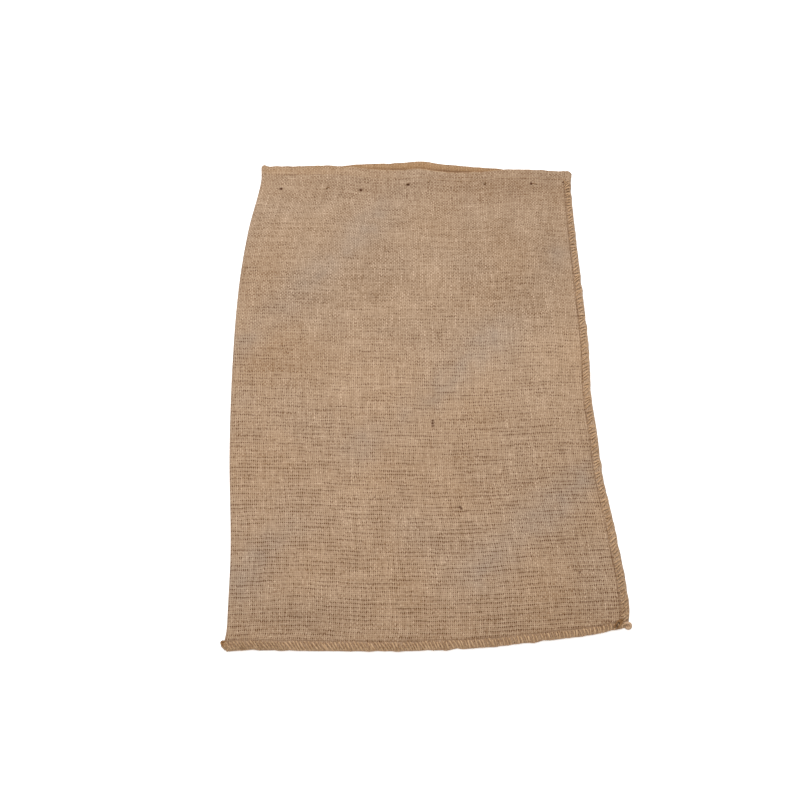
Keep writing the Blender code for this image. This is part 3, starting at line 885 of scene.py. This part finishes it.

# %% [markdown]
# ## Hessian: hollows, seam bands and wear
#
# The eye reads depth from the dark between the threads, and here that dark is painted shade: soft
# hollows at every crossing, and thin dark lines where picks or ends have parted. In the seam bands the
# cloth is painted browner, a painted shade between the stitches, most of all along the bottom, and a
# broken groove runs where the stitches pull it down, darkened with painted shade. Then come the wide
# changes: golden where the cloth was turned in, greyish where it is bleached. The shades are laid over
# one another in turn, from the widest change to the smallest hole.

# %% Hessian: hollows and seam bands
BAND_MM = GROOVE_AT * 1000
BOTTOM_MM = EDGE_RUN * 1000 - BAND_MM

# painted shade: the hollows round each crossing, and the lines where picks or ends have parted, darken the
# colour
hollow_shade = weave("MapRange", (yarn_height, 0.75, 0.25))
some_slack = weave("Math", (slackness, 0.75, 0.12), operation="MULTIPLY_ADD")
parted = []
for gap_line, share in ((pair_gap, run_share), (end_gap, chain_share)):
    drawn = weave("MapRange", (share, 0.38, 0.66))
    line = weave("Math", (gap_line, drawn), operation="MULTIPLY")
    parted.append(weave("Math", (line, some_slack), operation="MULTIPLY"))
pair_line = weave("Math", (parted[0], 0.40), operation="MULTIPLY")
hollow_shade = weave("Math", (hollow_shade, 0.66, pair_line), operation="MULTIPLY_ADD")
hollow_shade = weave("Math", (parted[1], 0.36, hollow_shade), operation="MULTIPLY_ADD")

from_edges = weave("UVMap", uv_map="edges")
from_side, from_mouth = (weave("SeparateXYZ", (from_edges,), out=axis) for axis in (0, 1))
below_hem = weave("MapRange", (from_mouth, 13, 20))
# painted shade between the stitches: the seam bands are darkened towards brown, most along the bottom
side_band_shade = weave("MapRange", (from_side, BAND_MM + 0.6, BAND_MM - 0.6, 0.0, 0.10))
bottom_band_shade = weave("MapRange", (from_mouth, BOTTOM_MM - 3, BOTTOM_MM - 1, 0.0, 0.38))
bottom_turn = weave("MapRange", (from_mouth, BOTTOM_MM + 5, BOTTOM_MM + 10, 1.0, 0.3))
side_band_shade = weave("Math", (side_band_shade, below_hem), operation="MULTIPLY")
bottom_band_shade = weave("Math", (bottom_band_shade, bottom_turn), operation="MULTIPLY")
in_band = weave("Math", (side_band_shade, bottom_band_shade), operation="MAXIMUM")

# painted shade: a broken dark line in the colour along the groove beside each seam band
grooves = []
# distance, where its groove runs, and how much fainter it is drawn
for distance, at, fainter in ((from_side, BAND_MM + 0.2, 0.0), (from_mouth, BOTTOM_MM - 1.6, 0.66)):
    away = weave("Math", (distance, at), operation="SUBTRACT")
    away = weave("Math", (away,), operation="ABSOLUTE")
    grooves.append(weave("Math", (away, fainter), operation="ADD"))
groove = weave("Math", grooves, operation="MINIMUM")
groove = weave("MapRange", (groove, 0.9, 0.1))
for share in (below_hem, chain_share, 1.3):
    groove = weave("Math", (groove, share), operation="MULTIPLY")
print("hessian has", len(hessian.node_tree.nodes), "nodes with its hollows and bands")

# %% Hessian: the shades laid over one another
JUTE_GOLD = linear("#b98e5f")
JUTE_GREY = linear("#98918a")
GAP_SHADE = linear("#624024")
HOLE_SHADE = linear("#5c3619")
# brown of the dirt specks, and of painted shade in needle holes, hollows and the inside of the mouth
STAIN_AND_SHADE_BROWN = linear("#46220e")

gold, cool, dark = (weave("Attribute", out=2, attribute_name=name) for name in ("gold", "cool", "dark"))
gold_share = weave("Math", (gold, 0.55), operation="MULTIPLY")
cool_share = weave("Math", (cool, 0.33), operation="MULTIPLY")
# painted shade: the open holes of the weave are darkened in the colour
hole_share = weave("Math", (hole, 0.85), operation="MULTIPLY")
colour = JUTE_MIDDLE
# the hollows, seam bands, grooves, holes, needle holes and the inside of the mouth below are painted shade
# laid into the colour; the specks are dirt
for share, laid_over in (
    (pale_share, JUTE_PALE), (brown_share, JUTE_BROWN), (gold_share, JUTE_GOLD), (cool_share, JUTE_GREY),
    (hollow_shade, GAP_SHADE), (in_band, JUTE_BROWN), (groove, GAP_SHADE), (hole_share, HOLE_SHADE),
    (dark, STAIN_AND_SHADE_BROWN),
):
    colour = weave("Mix", {0: share, 6: colour, 7: laid_over}, out=2, data_type="RGBA")

relief = weave("Math", (fibres, 0.30, yarn_height), operation="MULTIPLY_ADD")
relief = weave("Math", (hole, -0.9, relief), operation="MULTIPLY_ADD")
bump = weave("Bump", {"Strength": 1.0, "Distance": 0.0004, "Height": relief})
# dry plant fibre: rough, and hardly any gloss
surface = weave(
    "BsdfPrincipled",
    {"Base Color": colour, "Normal": bump, "Roughness": 0.92, "IOR": 1.45, "Specular IOR Level": 0.12},
)
weave("OutputMaterial", {"Surface": surface})
print("hessian has", len(hessian.node_tree.nodes), "nodes in all")

# %% [markdown]
# ## The cloth, woven
#
# Sheet and material are ready, so the cloth can be made now. It is one closed mesh, and its weave goes
# on round the fold and over the hem, as in the real cloth.

# %% Weave the cloth
cloth = build_cloth(hessian)

# %% [markdown]
# ## Twine stitches along the open edges
#
# The open side and the bottom are sewn with two-ply jute twine, over and under the seam band: an
# overcast seam. Each stitch slants, because the needle moves on while the twine goes over the band.
# One smooth curve carries the whole seam. Its cross section has two lobes and turns as it goes, which
# lays the two plies round each other.

# %% Twine helpers
TWINE_RADIUS = 0.0011
SIDE_TWINE_RADIUS = 0.0013
PLY_TURN = 0.0080
STITCH_SAMPLES = 24


def twine_section(radius, corners, waist):
    """Closed curve with two lobes, one for each ply, and a waist between them."""
    data = bpy.data.curves.new("twine_section", "CURVE")
    spline = data.splines.new("POLY")
    spline.points.add(corners - 1)
    for index, point in enumerate(spline.points):
        angle = 2 * math.pi * index / corners
        reach = radius * (waist + (1 - waist) * math.cos(angle) ** 2)
        point.co = (reach * math.cos(angle), reach * math.sin(angle), 0.0, 1.0)
    spline.use_cyclic_u = True
    section = bpy.data.objects.new("twine_section", data)
    bpy.context.scene.collection.objects.link(section)
    return section


def smooth_route(points, samples):
    """Points on a smooth curve through the given points."""
    route = []
    for index in range(len(points) - 1):
        before, start = points[max(index - 1, 0)], points[index]
        end, after = points[index + 1], points[min(index + 2, len(points) - 1)]
        climb, fall = (end - before) / 2, (after - start) / 2
        route += [hermite(start, climb, end, fall, count / samples) for count in range(samples)]
    return route + [points[-1]]


def twine_piece(name, routes, finish, radius, ply_turn=PLY_TURN, corners=8, waist=0.62):
    """Mesh of twines along routes, each capped at both ends."""
    section = twine_section(radius, corners, waist)
    data = bpy.data.curves.new(name + "_route", "CURVE")
    data.dimensions = "3D"
    data.bevel_mode = "OBJECT"
    data.bevel_object = section
    data.use_fill_caps = True
    data.twist_mode = "MINIMUM"
    for route in routes:
        spline = data.splines.new("POLY")
        spline.points.add(len(route) - 1)
        length = 0.0
        for index, (point, spot) in enumerate(zip(spline.points, route)):
            length += (spot - route[index - 1]).length if index else 0.0
            point.co = (*spot, 1.0)
            point.tilt = 2 * math.pi * length / ply_turn
    holder = bpy.data.objects.new(name + "_route", data)
    bpy.context.scene.collection.objects.link(holder)
    bpy.context.view_layer.update()
    mesh = bpy.data.meshes.new_from_object(holder.evaluated_get(bpy.context.evaluated_depsgraph_get()))
    for helper in (holder, section):
        bpy.data.objects.remove(helper)
    bm = bmesh.new()
    bm.from_mesh(mesh)
    bpy.data.meshes.remove(mesh)
    bmesh.ops.remove_doubles(bm, verts=bm.verts[:], dist=1e-6)
    bmesh.ops.recalc_face_normals(bm, faces=bm.faces[:])
    lowest = min(vert.co.z for vert in bm.verts)
    open_edges = sum(edge.is_boundary for edge in bm.edges)
    print(name, len(bm.faces), "faces, open edges", open_edges, "lowest", round(lowest * 1000, 2), "mm")
    return finish_mesh(name, bm, finish, sharp=80)


print("twine is", TWINE_RADIUS * 2000, "mm thick")

# %% [markdown]
# ## Where each stitch goes
#
# A stitch goes down at its inner hole, runs back under the seam, comes up between the two raw edges,
# and slants across the top to the next inner hole. A few points say this in two numbers: the distance
# from the edge, and how far along the seam. The cloth's own surface then gives the height, so the
# twine lies on the rolled band and bites into it at the holes. No two stitches are quite the same.

# %% Overcast stitches
# distance from the edge as a share of the band, share of the slant, top or underside, lift in radii
StitchPoint = namedtuple("StitchPoint", "depth slant top lift")
SIDE_STITCH = [StitchPoint(*row) for row in (
    (1.00, 0.00, True, -1.1), (0.91, 0.08, True, 0.55),
    (0.70, 0.36, True, 0.90), (0.45, 0.70, True, 0.60),
    (0.18, 1.00, None, 0.0), (0.30, 0.80, False, 0.0),
    (0.58, 0.50, False, 0.10), (0.88, 0.15, False, -0.2),
)]
BOTTOM_STITCH = [StitchPoint(*row) for row in (
    (1.00, 0.00, True, -1.1), (0.91, 0.08, True, 0.60),
    (0.60, 0.40, True, 0.95), (0.26, 0.76, True, 0.80),
    (0.07, 0.96, None, 0.5), (0.26, 0.80, False, 0.0),
    (0.58, 0.50, False, 0.10), (0.88, 0.15, False, -0.2),
)]


# how near the ends of a seam its twine may come, so that a place is never past the cloth
SEAM_END, MOUTH_END = 0.0005, 0.001
# least and most of a stitch's depth and of its pitch, as shares of the usual one
DEPTH_VARY, PITCH_VARY = (0.86, 1.06), (0.76, 1.24)


def seam_place(along_side_seam, from_edge, along, top, lift):
    """Point of the twine at a distance from the raw edge: on the top, on the underside, or inside."""
    across = WIDTH - from_edge if along_side_seam else min(max(along, SEAM_END), WIDTH - SEAM_END)
    run = min(max(along, SEAM_END), EDGE_RUN - MOUTH_END) if along_side_seam else from_edge
    if top is None:
        return (layer_place(across, run) + layer_place(-across, run)) / 2
    side = across if top else -across
    spot = layer_place(side, run) + outward(side, run)[0] * lift
    return Vector((spot.x, spot.y, max(spot.z, SIDE_TWINE_RADIUS + 0.0002)))


def overcast_route(along_side_seam, stitch, start, end, pitch, slant, vary):
    """Route of the twine along a whole seam."""
    points, at = [], start
    while at < end:
        own_depth = STITCH_DEPTH * dice.uniform(*DEPTH_VARY)
        own_slant = slant * dice.uniform(*vary)
        step = pitch * dice.uniform(*PITCH_VARY)
        for point in stitch:
            behind = own_slant if point.top is not False else own_slant - step
            along = at + point.slant * behind + (0.0 if point.top is not False else step)
            lift = point.lift * TWINE_RADIUS
            points.append(seam_place(along_side_seam, point.depth * own_depth, along, point.top, lift))
        at += step
    return smooth_route(points, STITCH_SAMPLES // len(stitch))


STITCH_DEPTH = 0.0112
# each seam: where it starts and ends along its edge, its pitch, its slant, and least and most of that
SIDE_SEAM = (0.0040, EDGE_RUN - 0.0270, 0.0053, 0.0062, (0.40, 1.60))
BOTTOM_SEAM = (0.0020, WIDTH - 0.0090, 0.0044, 0.0066, (0.72, 1.28))
side_route = overcast_route(True, SIDE_STITCH, *SIDE_SEAM)
bottom_route = overcast_route(False, BOTTOM_STITCH, *BOTTOM_SEAM)
print("points on the side seam:", len(side_route), "and on the bottom seam:", len(bottom_route))

# %% [markdown]
# ## Jute twine
#
# The twine is the same fibre as the cloth, spun harder, with fine fibres and an uneven tint from stitch
# to stitch. The thin hem thread is paler, and so is the loop. The knots and tacks were handled and
# soiled most, so they are browner. The three differ only in their shades, so one function makes them.

# %% Jute twine
def jute_twine(name, pale, middle, brown):
    """Twine in three shades of jute, mottled along its length and finely fibrous."""
    material, spin = new_material(name)
    place = spin("TexCoord", out=3)
    # steps of noise in a metre: one in 4 mm for the stitches, in 0.4 mm for the fibres, in 40 mm along
    stitch_tint, fibre_grain, long_tint = (
        spin("TexNoise", {"Vector": place, "Scale": steps, "Detail": detail})
        for steps, detail in ((240.0, 2.0), (2600.0, 2.0), (26.0, 1.0))
    )
    shade = -0.66
    for share, weight in ((stitch_tint, 1.4), (fibre_grain, 0.9), (long_tint, 0.5)):
        shade = spin("Math", (share, weight, shade), operation="MULTIPLY_ADD")
    pale_share = spin("MapRange", (shade, 0.45, 1.10))
    brown_share = spin("MapRange", (shade, 0.65, 0.05))
    tint = linear(middle)
    for share, laid_over in ((pale_share, pale), (brown_share, brown)):
        tint = spin("Mix", {0: share, 6: tint, 7: linear(laid_over)}, out=2, data_type="RGBA")
    bump = spin("Bump", {"Strength": 0.8, "Distance": 0.0002, "Height": fibre_grain})
    # spun harder than the yarns of the cloth, so the crown of each stitch catches a little more light
    surface = spin(
        "BsdfPrincipled",
        {"Base Color": tint, "Normal": bump, "Roughness": 0.85, "IOR": 1.45, "Specular IOR Level": 0.3},
    )
    spin("OutputMaterial", {"Surface": surface})
    return material


twine = jute_twine("jute_sewing_twine_two_ply", "#c7a683", "#a68462", "#745438")
fine_thread = jute_twine("jute_hemming_thread_fine", "#c4a587", "#a98c6e", "#7c6045")
soiled_twine = jute_twine("jute_twine_soiled_brown", "#9c7650", "#7b5733", "#4e3419")
side_stitches = twine_piece("side_seam_twine_stitches", [side_route], twine, SIDE_TWINE_RADIUS)
bottom_stitches = twine_piece("bottom_seam_twine_stitches", [bottom_route], twine, TWINE_RADIUS)

# %% [markdown]
# ## Hem thread and tacks
#
# The turned hem is held by a running line of thin jute thread, with short stitches that sink into the
# cloth. Lower down, a few hand tacks catch its raw edge: some show a bit of twine beside the hole.
# Both are thin curves laid on the cloth by the same surface functions.

# %% Hem thread
HEM_THREAD_RADIUS = 0.00035
HEM_STITCH_LENGTH = 0.0051
HEM_THREAD_CLEAR = 0.0125
HEM_THREAD_SWAY = 0.0003
# share of a stitch and height over the cloth: it dives, comes up, and lies on the hem
HEM_THREAD_STITCH = ((0.0, -0.0009), (0.16, 0.0), (0.5, 0.00022), (0.84, 0.0))


def on_cloth(across, run, lift, radius):
    """Point above the outside of the cloth, kept off the table."""
    spot = layer_place(across, run) + outward(across, run)[0] * lift
    return Vector((spot.x, spot.y, max(spot.z, radius + 0.00005)))


def hem_thread_route():
    """Running stitches round the mouth, from the sewn edge of the back to that of the front."""
    points, at = [], HEM_THREAD_CLEAR - WIDTH
    while at < WIDTH - HEM_THREAD_CLEAR:
        length = HEM_STITCH_LENGTH * dice.uniform(0.88, 1.12)
        sway = dice.uniform(-HEM_THREAD_SWAY, HEM_THREAD_SWAY)
        for share, lift in HEM_THREAD_STITCH:
            run = LENGTH - HEM_STITCH + sway
            points.append(on_cloth(at + share * length, run, lift, HEM_THREAD_RADIUS))
        at += length
    return smooth_route(points, 2)


hem_thread = twine_piece(
    "hem_running_thread", [hem_thread_route()], fine_thread, HEM_THREAD_RADIUS, ply_turn=0.003, corners=6
)

# %% Tack twine and the tuft at the mouth corner
# Each bit of twine is given by its places on the laid sack, in metres.
TACK_TWINES = (
    ((-0.1402, 0.3051), (-0.1385, 0.3073), (-0.1362, 0.3089), (-0.1338, 0.3081), (-0.1326, 0.3063)),
    ((-0.0192, 0.3111), (-0.0176, 0.3119), (-0.0160, 0.3130), (-0.0138, 0.3152)),
    ((0.0136, 0.3174), (0.0146, 0.3162), (0.0158, 0.3150)),
    ((0.0984, 0.3130), (0.0996, 0.3142), (0.1012, 0.3156), (0.1020, 0.3148)),
    ((0.1716, 0.3180), (0.1740, 0.3178), (0.1766, 0.3172), (0.1790, 0.3166)),
)
TUFT_TWINES = (
    ((0.2186, 0.3304), (0.2200, 0.3268), (0.2220, 0.3232), (0.2234, 0.3206)),
    ((0.2210, 0.3218), (0.2236, 0.3228), (0.2268, 0.3246), (0.2302, 0.3262)),
    ((0.2188, 0.3146), (0.2216, 0.3182), (0.2252, 0.3208), (0.2298, 0.3222)),
)
TACK_RADIUS = 0.00060


def cloth_numbers(x, y):
    """Distances across and along the front for a place on the laid sack, found by stepping closer."""
    u, v = 0.5, 0.5
    for _ in range(12):
        spot = on_plan(u, v, True) + SHIFT
        u = min(max(u + (x - spot.x) / WIDTH, 0.0), 1.0)
        v = min(max(v + (y - spot.y) / LENGTH, 0.0), 1.0)
    return u * WIDTH, v * LENGTH


def lying_route(places, radius):
    """Route of a bit of twine that lies on the front, both its ends sunk into the cloth."""
    points = []
    for index, (x, y) in enumerate(places):
        sunk = index in (0, len(places) - 1)
        points.append(on_cloth(*cloth_numbers(x, y), -radius if sunk else radius * 0.7, radius))
    return smooth_route(points, 4)


tack_routes = [lying_route(places, TACK_RADIUS) for places in TACK_TWINES]
tuft_routes = [lying_route(places, TWINE_RADIUS) for places in TUFT_TWINES]
tack_twines = twine_piece("tack_twine_ends", tack_routes, soiled_twine, TACK_RADIUS, ply_turn=0.004)
corner_tuft = twine_piece("corner_tuft_of_twine", tuft_routes, twine, TWINE_RADIUS)

# %% [markdown]
# ## The ends of the seams
#
# At the folded corner the twine is wound round the cloth a few times and ends in a hard knot. At the
# other corner it ends in a small round loop, with a small knot beside it whose two short ends lie over
# the seam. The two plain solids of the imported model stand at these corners, and the large knot and the
# loop take their places.

# %% Knot and loop
KNOT_RADIUS = 0.0019
KNOT_MIDDLE = Vector((-0.2458, -0.3560, 0.0042))
KNOT_SPREAD = Vector((0.00085, 0.00120, 0.0014))
LOOP_KNOT_RADIUS = 0.0012
LOOP_KNOT_MIDDLE = Vector((0.2462, -0.3296, 0.0086))
LOOP_KNOT_SPREAD = Vector((0.00085, 0.00085, 0.0011))
# the two ends of the knot beside the loop, over the seam, one in each pair of lines
KNOT_ENDS = (
    (
        (0.2448, -0.3290, 0.0090), (0.2420, -0.3300, 0.0094),
        (0.2398, -0.3330, 0.0092), (0.2376, -0.3372, 0.0076),
    ),
    (
        (0.2462, -0.3310, 0.0090), (0.2452, -0.3336, 0.0092),
        (0.2434, -0.3362, 0.0086), (0.2414, -0.3380, 0.0070),
    ),
)
KNOT_SAMPLES, KNOT_UNEVEN = 44, 0.06
WRAP_START, WRAP_END = Vector((-0.2452, -0.3578, 0.0040)), Vector((-0.2380, -0.3629, 0.0036))
WRAP_TURNS, WRAP_SAMPLES = 5, 12
WRAP_REACH, WRAP_RISE, WRAP_UNEVEN = 0.0032, 0.0022, 0.12
LOOP_MIDDLE = Vector((0.2559, -0.3344, 0.0034))
LOOP_RADIUS = 0.0031
LOOP_TWINE_RADIUS = 0.0020
LOOP_START = ((0.2470, -0.3330, 0.0026), (0.2492, -0.3322, 0.0040), (0.2518, -0.3312, 0.0050))
# angle round the loop in degrees, share of its radius, height above its middle
LOOP_TURN = (
    (118, 1.00, 0.0014), (72, 1.00, 0.0013), (26, 1.00, 0.0008), (-20, 1.00, 0.0003), (-66, 1.00, -0.0002),
    (-112, 1.00, -0.0006), (-158, 1.00, -0.0010), (-200, 0.85, -0.0013), (-240, 0.50, -0.0013),
    (-300, 0.25, -0.0013), (-20, 0.15, -0.0013), (-20, 0.55, -0.0013),
)


def knot_route(middle, spread):
    """A closed overhand knot, drawn tight, left open by one short step."""
    route = []
    for count in range(KNOT_SAMPLES):
        angle = 2 * math.pi * count / KNOT_SAMPLES
        across = math.sin(angle) + 2 * math.sin(2 * angle)
        along = math.cos(angle) - 2 * math.cos(2 * angle)
        offset = Vector((across * spread.x, along * spread.y, -math.sin(3 * angle) * spread.z))
        route.append(middle + offset * (1 - KNOT_UNEVEN * math.cos(5 * angle)))
    return route


def wrap_route():
    """Turns of twine drawn round the folded corner, from the knot to the bottom edge."""
    route = []
    sideways = (WRAP_END - WRAP_START).cross(Vector((0.0, 0.0, 1.0))).normalized()
    for count in range(WRAP_TURNS * WRAP_SAMPLES + 1):
        share = count / (WRAP_TURNS * WRAP_SAMPLES)
        angle = 2 * math.pi * WRAP_TURNS * share
        middle = WRAP_START.lerp(WRAP_END, share)
        reach = WRAP_REACH * (1.0 + WRAP_UNEVEN * math.sin(5 * angle / 3))
        spot = middle - sideways * reach * math.cos(angle) + Vector((0.0, 0.0, WRAP_RISE * math.sin(angle)))
        route.append(Vector((spot.x, spot.y, max(spot.z, TWINE_RADIUS + 0.0001))))
    return route


def loop_route():
    """From inside the seam up over its corner, round the loop, and back under its own start."""
    points = [Vector(place) for place in LOOP_START]
    for degrees, share, rise in LOOP_TURN:
        angle = math.radians(degrees)
        offset = Vector((math.cos(angle), math.sin(angle), 0.0)) * LOOP_RADIUS * share
        points.append(LOOP_MIDDLE + offset + Vector((0.0, 0.0, rise)))
    return smooth_route([Vector((p.x, p.y, max(p.z, LOOP_TWINE_RADIUS + 0.0001))) for p in points], 4)


knot_routes = [knot_route(KNOT_MIDDLE, KNOT_SPREAD)]
loop_knot_routes = [knot_route(LOOP_KNOT_MIDDLE, LOOP_KNOT_SPREAD)]
loop_knot_routes += [smooth_route([Vector(place) for place in places], 6) for places in KNOT_ENDS]
knot = twine_piece("knot_of_seam_twine", knot_routes, soiled_twine, KNOT_RADIUS, ply_turn=0.009)
corner_wraps = twine_piece("corner_wraps_of_twine", [wrap_route()], twine, TWINE_RADIUS)
loop = twine_piece("loop_of_seam_twine", [loop_route()], fine_thread, LOOP_TWINE_RADIUS, waist=0.88)
loop_knot = twine_piece(
    "knot_beside_the_loop", loop_knot_routes, soiled_twine, LOOP_KNOT_RADIUS, ply_turn=0.006
)

# %% [markdown]
# ## Table, light and camera
#
# The sack lies on a white light table, which glows a little and so takes away hard shadows. One large
# soft light hangs above it, a little towards the mouth, so the bottom of the sack is slightly darker.
# The camera looks down at the sack, tilted a little.

# %% Stage
FLOOR_SIZE = 6.0
FLOOR_GLOW = 0.35
LENS_MM = 40.5
CAMERA_PLACE, CAMERA_TILT = (-0.0278, -0.49326, 1.14600), 22
LIGHT_SIZE, LIGHT_WATTS = (2.4, 2.0), 45.0
LIGHT_PLACE, LIGHT_TILT = (-0.3, 0.6, 2.0), -17
ROOM_GLOW = 0.60


def build_floor():
    """The light table: matt and white, with a glow of its own that takes the shadows away."""
    bm = bmesh.new()
    bmesh.ops.create_grid(bm, x_segments=1, y_segments=1, size=FLOOR_SIZE / 2)
    material, paint = new_material("painted_board_matt_white")
    white = {"Base Color": linear("#fdfdfd"), "Roughness": 0.9}
    glow = {"Emission Color": linear("#ffffff"), "Emission Strength": FLOOR_GLOW}
    paint("OutputMaterial", {"Surface": paint("BsdfPrincipled", {**white, **glow})})
    return finish_mesh("floor", bm, material)


def stand(name, data, place, tilt):
    """Object for a camera or a light, at its place and tilted from looking straight down."""
    holder = bpy.data.objects.new(name, data)
    holder.location = place
    holder.rotation_euler = (math.radians(tilt), 0.0, 0.0)
    bpy.context.scene.collection.objects.link(holder)
    return holder


floor = build_floor()
camera_data = bpy.data.cameras.new("camera")
camera_data.lens = LENS_MM
camera = stand("camera", camera_data, CAMERA_PLACE, CAMERA_TILT)
bpy.context.scene.camera = camera

soft_box = bpy.data.lights.new("soft_box", "AREA")
soft_box.shape = "RECTANGLE"
soft_box.size, soft_box.size_y = LIGHT_SIZE
soft_box.energy = LIGHT_WATTS
stand("soft_box", soft_box, LIGHT_PLACE, LIGHT_TILT)

room = bpy.data.worlds.new("pale_room")
room.use_nodes = True
room.node_tree.nodes["Background"].inputs["Color"].default_value = linear("#ffffff")
room.node_tree.nodes["Background"].inputs["Strength"].default_value = ROOM_GLOW
bpy.context.scene.world = room
bpy.context.scene.view_settings.view_transform = "Standard"
# the denoiser's guides stay unfiltered, or single threads would blur
bpy.context.scene.cycles.denoising_prefilter = "NONE"
print("camera looks from", tuple(round(value, 3) for value in camera.location))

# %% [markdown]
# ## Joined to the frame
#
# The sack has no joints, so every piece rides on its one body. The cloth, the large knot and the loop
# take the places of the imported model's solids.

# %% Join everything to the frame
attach(cloth, "root")
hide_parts("sack_cloth")
sewn_pieces = [
    side_stitches, bottom_stitches, hem_thread, tack_twines, corner_tuft, knot, corner_wraps, loop,
    loop_knot,
]
for piece in sewn_pieces:
    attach(piece, "root")
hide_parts("twine_knot_left")
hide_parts("twine_curl_right")
